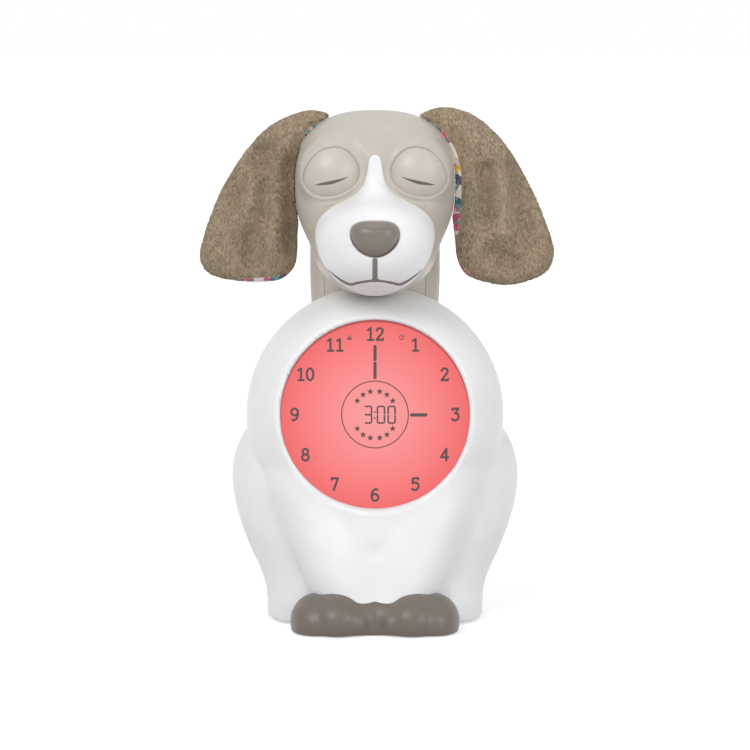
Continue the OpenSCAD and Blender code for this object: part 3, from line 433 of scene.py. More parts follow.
def thick(skin, wall, edges=(), slot=0, sinks=()):
    """A closed moulding with the skin outside.

    Each edge is (side, radius): there the outer edge is rounded, by a fixed radius or by one that is worked
    out from the points. Each sink is (side, depth, width): where the side is above zero, the outside is that
    much lower. slot is one material slot, or one for each face of the skin.
    """
    inner = skin.points - wall * skin.normals
    outer, normals = skin.points.copy(), skin.normals.copy()
    for side, r in edges:
        d = -side(skin.points)
        r = r(skin.points) if callable(r) else np.full(len(d), r)
        near = (d < r) & (d > -0.05)
        r = r[near]
        d = np.clip(d[near], 0, r)
        n = skin.normals[near]
        t = gradient(side, skin.points[near])
        t = unit(t - (t * n).sum(-1, keepdims=True) * n)
        lean = ((r - d) / r)[:, None]
        outer[near] -= n * r[:, None] * (1 - np.sqrt(1 - lean ** 2))
        normals[near] = unit(n * np.sqrt(1 - lean ** 2) + t * lean)
    for side, depth, width in sinks:
        t = np.clip(side(skin.points) / width, 0, 1)
        near = t > 0
        slope = gradient(side, skin.points[near]) * (depth / width * 6 * t * (1 - t))[near, None]
        outer[near] -= skin.normals[near] * (depth * t * t * (3 - 2 * t))[near, None]
        normals[near] = unit(normals[near] + slope)
    n = len(outer)
    points = np.concatenate([outer, inner])
    piece = Piece()
    piece.add(points, skin.faces, np.concatenate([normals, normals]), slot)
    turned = np.c_[skin.faces[:, [0, 2, 1]], skin.faces[:, 3]]
    back = np.where(skin.faces[:, 3:] < 0, turned, skin.faces[:, ::-1])
    back = np.where(back >= 0, back + n, -1)
    pairs = split_edges(skin.faces)
    code = np.sort(pairs, 1) @ [n, 1]
    _, at, times = np.unique(code, return_index=True, return_counts=True)
    a, b = pairs[at[times == 1]].T
    rim = np.stack([b, a, a + n, b + n], 1)
    inward = np.concatenate([-skin.normals, -skin.normals])
    for faces, normals in ((back, inward[back]), (rim, vertex_normals(points, rim)[rim])):
        piece.faces.append(faces)
        piece.normals.append(normals)
        piece.slots.append(np.full(len(faces), slot if np.isscalar(slot) else 0))
    return piece


def make(name, piece, materials, body, replaces=()):
    """Builds the Blender object of a piece and hangs it on its body."""
    points, faces = np.concatenate(piece.points) * MM, np.concatenate(piece.faces)
    normals, slots = np.concatenate(piece.normals), np.concatenate(piece.slots)
    mesh = bpy.data.meshes.new(name)
    real = faces >= 0
    sizes = real.sum(1)
    loops = faces[real]
    mesh.vertices.add(len(points))
    mesh.vertices.foreach_set("co", points.astype(np.float32).ravel())
    mesh.loops.add(len(loops))
    mesh.loops.foreach_set("vertex_index", loops.astype(np.int32))
    mesh.polygons.add(len(faces))
    mesh.polygons.foreach_set("loop_start", np.concatenate([[0], np.cumsum(sizes)[:-1]]).astype(np.int32))
    mesh.polygons.foreach_set("loop_total", sizes.astype(np.int32))
    mesh.polygons.foreach_set("material_index", slots.astype(np.int32))
    mesh.update(calc_edges=True)
    mesh.polygons.foreach_set("use_smooth", np.ones(len(faces), bool))
    for m in materials:
        mesh.materials.append(m)
    mesh.normals_split_custom_set(normals[real].astype(np.float32))
    mesh.update()
    obj = bpy.data.objects.new(name, mesh)
    bpy.context.scene.collection.objects.link(obj)
    if body:
        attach(obj, body)
    if replaces:
        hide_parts(*replaces)
    return obj

# -------- materials


def srgb(code):
    """Linear colour of a hex code."""
    c = np.array([int(code[i:i + 2], 16) / 255 for i in (1, 3, 5)])
    return (*np.where(c <= 0.04045, c / 12.92, ((c + 0.055) / 1.055) ** 2.4), 1)


def scaled(colour, k):
    """A colour that many times as bright."""
    return tuple(min(1, v * k) for v in colour[:3]) + (1,)


class Nodes:
    """A node tree with short ways to add to it. A hex code stands for its colour wherever a value goes."""

    def __init__(self, owner):
        owner.use_nodes = True
        self.owner, self.tree = owner, owner.node_tree
        self.shader = self.tree.nodes.get("Principled BSDF")

    def add(self, kind, inputs=None, **settings):
        node = self.tree.nodes.new(kind)
        for k, v in settings.items():
            setattr(node, k, v)
        for k, v in (inputs or {}).items():
            self.set(node.inputs[k], v)
        return node

    def set(self, socket, value):
        if isinstance(value, bpy.types.NodeSocket):
            self.tree.links.new(value, socket)
        else:
            socket.default_value = srgb(value) if isinstance(value, str) else value

    def principled(self, **values):
        for k, v in values.items():
            self.set(self.shader.inputs[k.replace("_", " ")], v)

    def place(self):
        """Coordinates of the object itself, in metres."""
        return self.add("ShaderNodeTexCoord").outputs["Object"]

    def noise(self, scale, detail=3.0, rough=0.5, vector=None):
        """Noise with that many waves to the metre."""
        inputs = {"Vector": vector or self.place(), "Scale": scale, "Detail": detail, "Roughness": rough}
        return self.add("ShaderNodeTexNoise", inputs).outputs["Fac"]

    def ramp(self, factor, *stops):
        """Colours or greys at places from 0 to 1."""
        node = self.add("ShaderNodeValToRGB", {"Fac": factor})
        points = node.color_ramp.elements
        while len(points) < len(stops):
            points.new(0.5)
        for point, (at, value) in zip(points, stops):
            value = srgb(value) if isinstance(value, str) else value
            point.position = at
            point.color = value if isinstance(value, tuple) else (value, value, value, 1)
        return node.outputs["Color"]

    def spread(self, value, low, high, start=0.0, end=1.0, **settings):
        """A value that runs from start to end, spread over low to high."""
        inputs = {"Value": value, "From Min": start, "From Max": end, "To Min": low, "To Max": high}
        return self.add("ShaderNodeMapRange", inputs, **settings).outputs["Result"]

    def sum(self, a, b):
        return self.add("ShaderNodeMath", {0: a, 1: b}, operation="ADD").outputs[0]

    def greater(self, a, b):
        """The greater of two values."""
        return self.add("ShaderNodeMath", {0: a, 1: b}, operation="MAXIMUM").outputs[0]

    def distance(self, centre):
        """Distance in metres from a place given in millimetres."""
        inputs = {0: self.place(), 1: tuple(centre * MM)}
        return self.add("ShaderNodeVectorMath", inputs, operation="DISTANCE").outputs["Value"]

    def mix(self, factor, a, b):
        """Colour a where the factor is 0, and b where it is 1."""
        return self.add("ShaderNodeMix", {0: factor, 6: a, 7: b}, data_type="RGBA").outputs[2]

    def bump(self, height, distance, strength=1.0, after=None):
        inputs = {"Height": height, "Distance": distance, "Strength": strength}
        if after:
            inputs["Normal"] = after
        return self.add("ShaderNodeBump", inputs).outputs["Normal"]


def new_material(name):
    return Nodes(bpy.data.materials.new(name))


def plastic(name, code, rough=0.4, grain=0.00002, tint=0.03, coat=0.0, subsurface=0.0):
    """Moulded plastic: a fine spark-eroded grain, slow colour drift and uneven gloss."""
    m = new_material(name)
    dark, light = (scaled(srgb(code), k) for k in (1 - tint, 1 + tint))
    m.principled(Base_Color=m.ramp(m.noise(38, 3, 0.55), (0.3, dark), (0.7, light)))
    m.principled(Roughness=m.spread(m.noise(420, 4, 0.6), rough - 0.05, rough + 0.05))
    m.principled(Normal=m.bump(m.noise(5200, 2, 0.6), grain, 0.5))
    m.principled(Coat_Weight=coat, Coat_Roughness=0.18)
    if subsurface:
        m.principled(Subsurface_Weight=subsurface, Subsurface_Radius=(1.0, 0.9, 0.8), Subsurface_Scale=0.002)
    return m.owner


def metal(name, code, rough=0.3):
    """Turned or stamped metal with a cloudy tone."""
    m = new_material(name)
    m.principled(Base_Color=m.ramp(m.noise(260, 4), (0.3, scaled(srgb(code), 0.85)), (0.7, code)))
    m.principled(Roughness=m.spread(m.noise(900, 3), rough - 0.08, rough + 0.1), Metallic=1.0)
    m.principled(Normal=m.bump(m.noise(3000, 2), 0.00001, 0.4))
    return m.owner


WHITE = plastic("white_shell", "#e9e9ea", 0.42, subsurface=0.08)
BEIGE = plastic("beige_shell", "#bdb6aa", 0.4, subsurface=0.05)
LID = plastic("eyelid", "#c2bbb0", 0.36, subsurface=0.05)
TAUPE = plastic("taupe_plastic", "#776f65", 0.38, tint=0.04, coat=0.12)
PAW = plastic("taupe_paw", "#6b645a", 0.42, tint=0.04, coat=0.06)
PAINT = plastic("taupe_paint", "#77706a", 0.45, tint=0.04)
EYE_WHITE = plastic("eye_white", "#efeeea", 0.2, coat=0.4)
EYE_DARK = plastic("eye_dark", "#2b211c", 0.15, coat=0.6)
EYE_IRIS = plastic("eye_iris", "#6b4a33", 0.18, coat=0.6)
DIAL_GLOW = [(0.0, "#f49ea0"), (0.35, "#f78f90"), (0.72, "#f57b7c"), (1.0, "#ee6768")]
RIM_SHADE = "#a84a4c"                   # painted shadow on the lens under its upper rim
SHADE_DOWN = 0.9                        # how far below the dial's middle the circle is centred, outside which the shadow is painted
NAP = [(0.26, "#93816a"), (0.5, "#a9977f"), (0.74, "#bfae96")]
PATCHES = ["#efeade", "#3b7780", "#e9bb3a", "#cf6486", "#efe9df",
           "#5a6480", "#e3dfd6", "#6da3a5", "#e5b9bd", "#efeade"]
FLECK = "#efe8dc"


def lit_dial():
    """The lens with the night light on behind it: brightest in the middle, with a painted shadow under the
    upper rim.
    """
    m = new_material("dial_lens")
    centre = TORSO_C + LENS_FACE * DIAL_N
    reach = m.spread(m.distance(centre), 0.0, 1.0, 0.0, DIAL_R * MM)
    glow = m.ramp(m.sum(reach, m.spread(m.noise(24, 2, 0.5), -0.03, 0.03)), *DIAL_GLOW)
    # painted shadow: outside a circle set a little below the middle, so along the upper rim, the glow turns
    # to RIM_SHADE
    off = m.distance(centre - SHADE_DOWN * DIAL_UP)
    start, end = (DIAL_R - 0.3) * MM, (DIAL_R + 0.8) * MM
    shade = m.spread(off, 0.0, 1.0, start, end, interpolation_type="SMOOTHSTEP")
    m.principled(Base_Color="#1c0d0d", Emission_Color=m.mix(shade, glow, RIM_SHADE), Emission_Strength=1.0)
    m.principled(Roughness=m.spread(m.noise(600, 3), 0.38, 0.46), Specular_IOR_Level=0.3)
    return m.owner


def plush():
    """Short-pile plush: mottled pile with a soft sheen, darker where the mesh's painted fold shade is below
    zero, lighter where it is above.
    """
    m = new_material("plush")
    combed = m.add("ShaderNodeMapping", {"Vector": m.place(), "Scale": (1.0, 1.0, 0.3)}).outputs[0]
    hairs, tufts = m.noise(2100, 3, 0.65, combed), m.noise(300, 3, 0.6, combed)
    mottle = m.add("ShaderNodeMix", {0: 0.3, 2: hairs, 3: tufts}, data_type="FLOAT").outputs[0]
    # painted shade and light of the folds, carried on the mesh
    painted_fold_shade = m.add("ShaderNodeAttribute", attribute_name="fold_shade").outputs["Fac"]
    m.principled(Base_Color=m.ramp(m.sum(mottle, painted_fold_shade), *NAP))
    m.principled(Roughness=0.95, Specular_IOR_Level=0.15, Sheen_Weight=0.35, Sheen_Roughness=0.5)
    m.principled(Sheen_Tint="#e8dccb")
    m.principled(Normal=m.bump(hairs, 0.0004, 0.8, m.bump(tufts, 0.0012, 0.6)))
    return m.owner


def printed_cotton():
    """The ears' lining: a generic print of patches and flecks on a woven cloth."""
    m = new_material("lining")
    cells = m.add("ShaderNodeTexVoronoi", {"Vector": m.place(), "Scale": 340.0})
    pick = m.add("ShaderNodeSeparateColor", {"Color": cells.outputs["Color"]}).outputs[0]
    patches = m.ramp(pick, *[(k / len(PATCHES), colour) for k, colour in enumerate(PATCHES)])
    patches.node.color_ramp.interpolation = "CONSTANT"
    flecks = m.add("ShaderNodeTexVoronoi", {"Vector": m.place(), "Scale": 800.0})
    dots = m.ramp(flecks.outputs["Distance"], (0.0, 1.0), (0.22, 1.0), (0.27, 0.0))
    weave = m.add("ShaderNodeTexWave", {"Vector": m.place(), "Scale": 900.0, "Distortion": 1.0})
    m.principled(Base_Color=m.mix(dots, patches, FLECK), Roughness=0.85)
    m.principled(Sheen_Weight=0.1, Specular_IOR_Level=0.2)
    m.principled(Normal=m.bump(weave.outputs["Fac"], 0.0002, 0.6))
    return m.owner


def board():
    """Solder-masked circuit board with paler tracks."""
    m = new_material("board")
    inputs = {"Vector": m.place(), "Scale": 90.0, "Mortar Size": 0.03,
              "Color1": "#1f5a3c", "Color2": "#24633f", "Mortar": "#3c8a5c"}
    tracks = m.add("ShaderNodeTexBrick", inputs)
    m.principled(Base_Color=tracks.outputs["Color"], Roughness=m.spread(m.noise(700), 0.3, 0.45))
    m.principled(Normal=m.bump(tracks.outputs["Fac"], 0.00005, 0.4))
    return m.owner


def cell_wrap():
    """A battery's printed sleeve: dark with a paler band at one end."""
    m = new_material("cell")
    dark, pale = "#4a4d55", "#b98a4a"
    along = m.add("ShaderNodeSeparateXYZ", {"Vector": m.place()}).outputs["X"]
    along = m.spread(along, 0.0, 1.0, -25 * MM, 25 * MM)
    band = m.ramp(along, (0.0, dark), (0.62, dark), (0.63, pale), (1.0, pale))
    m.principled(Base_Color=band, Roughness=m.spread(m.noise(300), 0.25, 0.35), Metallic=0.4)
    m.principled(Normal=m.bump(m.noise(2500, 2), 0.00001, 0.4))
    return m.owner


PLUSH, LINING, LENS = plush(), printed_cotton(), lit_dial()
INK = plastic("dial_ink", "#503b3a", 0.5, tint=0.06)
SLIT_DARK = plastic("eye_line", "#5f5b53", 0.55, tint=0.05)
DARK = plastic("dark_plastic", "#232427", 0.45)
SATIN_STEEL = metal("steel", "#b4b7bb", 0.32)

# -------- body

STEP = 1.8            # width of the skins' quads
PART_GAP = 0.03                         # half of the gap between two mouldings
EDGE_ROWS = np.array([-1, -0.7, -0.42, -0.2, -0.06])
FIT = 0.25                              # air round what stands in a hole
FOOT_ROUND, NECK_ROUND, SPLIT_ROUND, HOLE_ROUND = 0.8, 0.7, 0.45, 0.5
LENS_T = 1.15
PANEL_CORNER = 6
JACK_R = 5.2
# Where the wells of the screws are, across and up, and their size
BODY_SCREWS = [(-42, 113), (42, 113), (-37, 27.6), (37, 27.6)]
HEAD_SCREWS = [(0, 221.5), (-25, 176), (25, 176)]
WELL_R, WELL_WALL = 3.05, 0.7
WELL_SEAT = 5                           # from the split to the seat of a screw's head
WELL_MOUTH = 0.8                        # how far a well's end lies under the skin
COLUMNS = 40                            # round each well


def rows(r):
    """Levels of the rows that a rounded edge of that radius needs, the edge last."""
    return [*(r * EDGE_ROWS), 0.0]


# Sides: each is below zero on what keep() leaves, such as what lies ahead of a plane across Y
def ahead(level):
    return lambda p: p[:, 1] - level


def behind(level):
    return lambda p: level - p[:, 1]


def above(level):
    return lambda p: level - p[:, 2]


def hole(x, z, r):
    """Above zero inside a round hole along Y through the rear."""
    return lambda p: np.where(p[:, 1] > SPLIT_Y, r - np.hypot(p[:, 0] - x, p[:, 2] - z), NOWHERE)


def slot_hole(x, z, w, h, r):
    """The same for a rounded rectangle."""
    def side(p):
        q = np.stack([np.abs(p[:, 0] - x) - w / 2 + r, np.abs(p[:, 2] - z) - h / 2 + r], -1)
        out = np.linalg.norm(np.maximum(q, 0), axis=1) + np.minimum(q.max(1), 0) - r
        return np.where(p[:, 1] > SPLIT_Y, -out, NOWHERE)
    return side


def pit(p):
    """Above zero behind the lens, inside the dial's opening."""
    h, r = off_axis(p)
    return np.where((h > 0) & (r < DIAL_R + 1), LENS_FACE - LENS_T - h, NOWHERE)


def neck_hole(p):
    q = np.abs((p[:, :2] - (0, NECK_Y)) / (NECK[0] + FIT, NECK[1] + FIT))
    inside = (1 - (q ** NECK_E).sum(-1) ** (1 / NECK_E)) * NECK[1]
    return np.where(p[:, 2] > NECK_FOOT, inside, NOWHERE)


def box_of(node):
    lo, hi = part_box(node)
    return np.array(lo) / MM, np.array(hi) / MM


def rear_openings():
    """The holes of the rear shell: control panel, grille, jack and screws."""
    lo, hi = box_of("control_panel")
    size = hi - lo + 2 * FIT
    sides = [slot_hole(0, (lo[2] + hi[2]) / 2, size[0], size[2], PANEL_CORNER + FIT)]
    lo, hi = box_of("speaker_grille")
    sides.append(hole(0, (lo[2] + hi[2]) / 2, (hi[0] - lo[0]) / 2 + FIT))
    lo, hi = box_of("dc_jack")
    sides.append(hole((lo[0] + hi[0]) / 2, (lo[2] + hi[2]) / 2, JACK_R + FIT))
    return sides + [hole(x, z, WELL_R) for x, z in BODY_SCREWS]


def halves(skin, y, r, snap):
    """The front of a skin with its edge for thick(), and the rear with its own, a fine gap apart."""
    front, rear = ahead(y - PART_GAP), behind(y + PART_GAP)
    cut(skin, front, rows(r)[::-1], snap)
    cut(skin, rear, rows(r), snap)
    return keep(skin, front), (front, r), keep(skin, rear), (rear, r)


def tube(piece, x, z, y0, y1, r0, r1):
    """A closed tube along Y, whose far end may differ from column to column."""
    a = np.linspace(0, 2 * pi, COLUMNS, endpoint=False)
    ring = np.stack([np.cos(a), 0 * a, np.sin(a)], -1)
    rise = ring * 0 + (0, 1, 0)
    profile = [(r1, y0), (r1, y1), (r0, y1), (r0, y0)]
    for (ra, ya), (rb, yb) in zip(profile, profile[1:] + profile[:1]):
        ya, yb = ya + 0 * a, yb + 0 * a
        points = [ring * r + (x, 0, z) + rise * y[:, None] for r, y in ((ra, ya), (rb, yb))]
        j = np.arange(COLUMNS)
        faces = np.stack([j, (j + 1) % COLUMNS, (j + 1) % COLUMNS + COLUMNS, j + COLUMNS], 1)
        along = rise * (yb - ya)[:, None] + ring * (rb - ra)
        normal = unit(np.cross(np.cross(ring, rise), along))
        piece.add(np.concatenate(points), faces[:, ::-1], -np.concatenate([normal, normal]))


def reach_y(f, x, z, start):
    """Where a field's surface is along Y, behind a point inside it."""
    lo, hi = 0.0, 80.0
    for _ in range(30):
        mid = (lo + hi) / 2
        if f(np.array([[x, start + mid, z]]))[0] < 0:
            lo = mid
        else:
            hi = mid
    return start + lo


def wells(piece, f, places, split):
    """Adds the tubes that the screws go down. Their mouths follow the skin."""
    around = np.linspace(0, 2 * pi, COLUMNS, endpoint=False)
    r = WELL_R + 0.5
    for x, z in places:
        rim = np.array([reach_y(f, x + r * cos(a), z + r * sin(a), split) for a in around])
        tube(piece, x, z, split + WELL_SEAT, rim - WELL_MOUTH, WELL_R, WELL_R + WELL_WALL)


def add_body():
    body = net(body_skin, (-72, -62, -3), (72, 66, 156), STEP)
    body = trimmed(body, above(BASE_Z), rows(FOOT_ROUND), 0.12)
    body = trimmed(body, pit)
    body = trimmed(body, neck_hole, rows(NECK_ROUND), 0.12)
    front, front_edge, rear, rear_edge = halves(body, SPLIT_Y, SPLIT_ROUND, 0.08)
    ends = [(above(BASE_Z), FOOT_ROUND), (neck_hole, NECK_ROUND)]
    piece = thick(front, WALL, [*ends, front_edge])
    make("body_front", piece, [WHITE], "housing", ["body_front_shell"])
    openings = rear_openings()
    for side in openings:
        rear = trimmed(rear, side, rows(HOLE_ROUND), 0.1)
    piece = thick(rear, WALL, [*ends, rear_edge] + [(side, HOLE_ROUND) for side in openings])
    wells(piece, trunk, BODY_SCREWS, SPLIT_Y)
    make("body_rear", piece, [WHITE], "housing", ["body_rear_shell"])


add_body()

# -------- paws

PAW_STEP = 0.8
PAW_WALL, PAW_ROUND = 2.0, 1.2
PAW_BACK = -27                          # the paws end there, inside the body


def add_paws():
    paws = net(paw_pair, (-42, -62, -8), (42, -14, 22), PAW_STEP)
    cut(paws, above(0), rows(PAW_ROUND), snap=0.1)
    cut(paws, ahead(PAW_BACK))
    paws = keep(keep(paws, above(0)), ahead(PAW_BACK))
    piece = thick(paws, PAW_WALL, [(above(0), PAW_ROUND)])
    make("paw_pair", piece, [PAW], "housing", ["paws"])


add_paws()

# -------- nose

NOSE_STEP = 0.5
NOSE_Z = SNOUT_Z + 5.8                  # where the nose is widest
NOSE_PLANE, NOSE_BACK, NOSE_DEPTH = -48, -46.4, 9.6
NOSE_W = 10.7
NOSE_UP, NOSE_DOWN = (6.2, 3.0), (9.8, 1.8)   # height above or below there, and roundness
NOSE_DOME = 2.4                         # squareness of its front


def nose_ring(p, grow=0.0):
    """1 on the outline of the nose seen from the front, less inside it."""
    x, z = np.abs(p[:, 0]) / (NOSE_W + grow), p[:, 2] - NOSE_Z
    rings = []
    for height, (reach, e) in ((z, NOSE_UP), (-z, NOSE_DOWN)):
        rings.append((x ** e + np.maximum(height / (reach + grow), 0) ** e) ** (1 / e))
    return np.where(z > 0, *rings)


def nose(p):
    depth = np.maximum((NOSE_PLANE - p[:, 1]) / NOSE_DEPTH, 0)
    dome = ((nose_ring(p) ** NOSE_DOME + depth ** NOSE_DOME) ** (1 / NOSE_DOME) - 1) * NOSE_UP[0]
    return trim(dome, p[:, 1] - NOSE_BACK, 0.4)


def nose_hole(p):
    """Above zero inside the pocket of the nose."""
    return np.where(p[:, 1] < -36, (1 - nose_ring(p, 0.18)) * NOSE_UP[0], NOWHERE)


# -------- head

HEAD_STEP = 1.25
SEAM_ROUND, MASK_ROUND, POCKET_ROUND = 0.16, 0.12, 0.4
MOUTH_SINK, MOUTH_SLOPE = 0.22, 0.3     # depth of the painted mouth line, and width of its sides
# An eye opening seen from the front: distance of its edge from its centre, every 15 degrees
APERTURE = [12.6, 11.85, 11.3, 11.07, 11.05, 11.25, 11.55, 11.87, 12.17, 12.35, 12.5, 12.85,
            13.05, 12.9, 12.4, 11.65, 11.2, 11.15, 11.5, 12, 12.8, 13.6, 14.05, 13.75]
APERTURE_C = (19.5, 203.6)
# Half width of the white mask, seen from the front, at each height above the snout's centre
MASK = [(39.8, 0), (39.2, 1.5), (36.9, 2.7), (34.2, 3.1), (32.1, 3.5), (30, 4.1), (26.8, 5.2), (23.7, 7.3),
        (21.6, 9.7), (19.5, 13.2), (17.2, 18.4), (14.4, 22.1), (11.7, 24.6), (8.4, 26.1), (5.4, 26.5),
        (2.5, 26.3), (-0.6, 25.6), (-3.6, 24.8), (-6.7, 23.3), (-9.9, 21.3), (-15.2, 17.3), (-18.5, 12.5),
        (-22, 5)]


def smooth_line(points, n=12):
    """A Catmull-Rom curve through points."""
    p = np.array(points, float)
    p = np.concatenate([2 * p[:1] - p[1:2], p, 2 * p[-1:] - p[-2:-1]])
    t = np.linspace(0, 1, n, endpoint=False)[:, None]
    out = []
    for a, b, c, d in zip(p, p[1:], p[2:], p[3:]):
        square, cube = 2 * a - 5 * b + 4 * c - d, 3 * b - a - 3 * c + d
        out.append(0.5 * (2 * b + (c - a) * t + square * t ** 2 + cube * t ** 3))
    return np.concatenate(out + [p[-2:-1]])


def line_distance(q, line):
    """Distance from 2-D points to a polyline, and how far along it the nearest place is, from 0 to 1."""
    best, where = np.full(len(q), 1e9), np.zeros(len(q))
    lengths = np.linalg.norm(np.diff(line, axis=0), axis=1)
    start = np.concatenate([[0], np.cumsum(lengths)])
    for k, (a, b) in enumerate(zip(line, line[1:])):
        d = b - a
        t = np.clip((q - a) @ d / (d @ d), 0, 1)
        gap = np.linalg.norm(q - a - t[:, None] * d, axis=1)
        closer = gap < best
        best = np.where(closer, gap, best)
        where = np.where(closer, (start[k] + t * lengths[k]) / start[-1], where)
    return best, where


mask_line = smooth_line([(w, z) for z, w in MASK], 6)


def mask_side(p):
    """Above zero inside the white mask."""
    q = np.stack([np.abs(p[:, 0]), p[:, 2] - SNOUT_Z], -1)
    width = np.interp(-q[:, 1], -mask_line[:, 1], mask_line[:, 0], left=-3, right=4)
    gap, _ = line_distance(q, mask_line)
    back = np.where(q[:, 1] < 4, -24, -14)
    return np.where(p[:, 1] < back, np.where(q[:, 0] < width, gap, -gap), NOWHERE)


def face_side(p):
    """Above zero outside the white mask."""
    return -mask_side(p)


aperture_waves = np.fft.rfft(APERTURE)[:6] / len(APERTURE)


def aperture(p):
    """Above zero inside an eye opening."""
    x, z = np.abs(p[:, 0]) - APERTURE_C[0], p[:, 2] - APERTURE_C[1]
    a = np.arctan2(z, x)
    swing = sum((wave * np.exp(1j * k * a)).real for k, wave in enumerate(aperture_waves) if k)
    edge = aperture_waves[0].real + 2 * swing
    return np.where(p[:, 1] < EYE[1], edge - np.hypot(x, z), NOWHERE)


def rim_radius(p):
    """Roundness of the eye openings: their edges come down to just above the eyeballs."""
    over = np.linalg.norm(either_side(p) - EYE, axis=1) - EYE_R
    return np.clip(over - 0.45, 0.4, 3)


MOUTH = [(0, 157.3), (4.7, 156.6), (8, 155.8), (10.9, 155), (14.4, 156.5), (18.2, 159.2), (20.5, 161.3)]
MOUTH_BAR = np.array([(0, 166.5), (0, 157.6)])
BAR_HALF = 1.15
# Half width of the mouth line at places from its middle, 0, to its end, 1
MOUTH_HALF = [0, 0.3, 0.55, 0.8, 1], [0.55, 0.62, 0.72, 0.45, 0.2]
mouth_line = smooth_line(MOUTH, 8)


def mouth(p):
    """Above zero on the painted mouth line."""
    q = np.stack([np.abs(p[:, 0]), p[:, 2]], -1)
    gap, along = line_distance(q, mouth_line)
    bar, _ = line_distance(q, MOUTH_BAR)
    painted = -blend(gap - np.interp(along, *MOUTH_HALF), bar - BAR_HALF, 0.8)
    return np.where(p[:, 1] < -20, painted, NOWHERE)


def add_mask(skin, rim_edge):
    """The white muzzle moulding, with the nose's pocket and the painted mouth."""
    mask = trimmed(skin, nose_hole, rows(POCKET_ROUND), 0.08)
    cut(mask, mouth, (-0.1, 0, 0.25), snap=0.06)
    slots = (mouth(middles(mask)) > 0).astype(int)
    edges = [rim_edge, (face_side, MASK_ROUND), (nose_hole, POCKET_ROUND)]
    piece = thick(mask, WALL, edges, slots, sinks=[(mouth, MOUTH_SINK, MOUTH_SLOPE)])
    make("face_mask", piece, [WHITE, PAINT], "housing", ["muzzle"])


def add_head():
    skin = trimmed(net(head, (-42, -62, 112), (42, 58, 236), HEAD_STEP), above(NECK_FOOT))
    front, front_edge, rear, rear_edge = halves(skin, HEAD_SPLIT, SEAM_ROUND, 0.05)
    front = trimmed(front, aperture, (-3, -2.1, -1.3, *rows(0.7)), 0.1)
    cut(front, mask_side, (-MASK_ROUND, -0.05, 0, 0.05, MASK_ROUND), snap=0.05)
    rim_edge = (aperture, rim_radius)
    piece = thick(keep(front, mask_side), WALL, [rim_edge, front_edge, (mask_side, MASK_ROUND)])
    make("face_shell", piece, [BEIGE], "housing", ["head_front_shell"])
    add_mask(keep(front, face_side), rim_edge)
    holes = [hole(x, z, WELL_R) for x, z in HEAD_SCREWS]
    for side in holes:
        rear = trimmed(rear, side, rows(HOLE_ROUND), 0.1)
    piece = thick(rear, WALL, [rear_edge] + [(side, HOLE_ROUND) for side in holes])
    wells(piece, head, HEAD_SCREWS, HEAD_SPLIT)
    make("head_back", piece, [BEIGE], "housing", ["head_rear_shell"])


def add_nose():
    skin = net(nose, (-14, -60, 164), (14, -44, 188), NOSE_STEP)
    piece = Piece().add(skin.points, skin.faces, skin.normals)
    make("nose_pad", piece, [TAUPE], "housing", ["nose"])


add_head()
add_nose()

# -------- eyes

EYE_STEP = 0.8
EYE_FLAT = 5.3                          # inner face of each eyeball
EYE_WALL, EYE_EDGE = 1.6, 0.5
LASHES = [(26.9, 197.7), (11.8, 201.6)]      # ends of the line between the lids
# Its lower and upper edge above that line, from the outer end to the inner
LASH_DOWN = [(0, -0.04), (0.19, -0.68), (0.42, -1.3), (0.56, -1.38), (0.76, -1.0), (0.9, -0.55), (1, -0.04)]
LASH_UP = [(0, 0.04), (0.19, 0.3), (0.42, 0.2), (0.56, 0.13), (0.76, -0.05), (0.9, -0.03), (1, 0.04)]
LASH_T = 0.04                           # how far the line's paint stands proud of the eyeball
LASH_WALL = 0.3                         # its whole thickness, most of it inside the eyeball
LASH_COLUMNS, LASH_ROWS = 48, 6
OPEN_WAY = np.array([0, sin(radians(10)), -cos(radians(10))])   # the open eye's middle, at rest
OPEN_RINGS = [46, 29, 17]               # edges of the white, the iris and the pupil, in degrees from there
GLINT = 5.5                             # and of the painted highlight, a white spot, from its own middle
GLINT_WAY = unit(OPEN_WAY + (-0.16, -0.2, -0.05))


def lash(centre, sign):
    """The painted line between the closed lids, as a thin closed ribbon on the eyeball."""
    along = np.linspace(0, 1, LASH_COLUMNS + 1)
    low, high = (np.interp(along, *smooth_line(edge, 8).T) for edge in (LASH_DOWN, LASH_UP))
    x, z = (a + along * (b - a) for a, b in zip(*LASHES))
    z = z[:, None] + low[:, None] + (high - low)[:, None] * np.linspace(0, 1, LASH_ROWS + 1)
    x = np.repeat(x[:, None] * sign, LASH_ROWS + 1, 1)
    r = EYE_R + LASH_T
    y = centre[1] - np.sqrt(r * r - (x - centre[0]) ** 2 - (z - centre[2]) ** 2)
    points = np.stack([x, y, z], -1).reshape(-1, 3)
    skin = Skin(ball(centre, r), points, grid_faces(LASH_COLUMNS, LASH_ROWS)[:, ::-sign])
    return thick(skin, LASH_WALL, slot=4)


def within(way, degrees_off):
    """Above zero where an eyeball's surface is nearer than that to a direction."""
    def side(p):
        q = unit(either_side(p) - EYE)
        q[:, 0] *= np.sign(p[:, 0])
        return (radians(degrees_off) - np.arccos(np.clip(q @ way, -1, 1))) * EYE_R
    return side


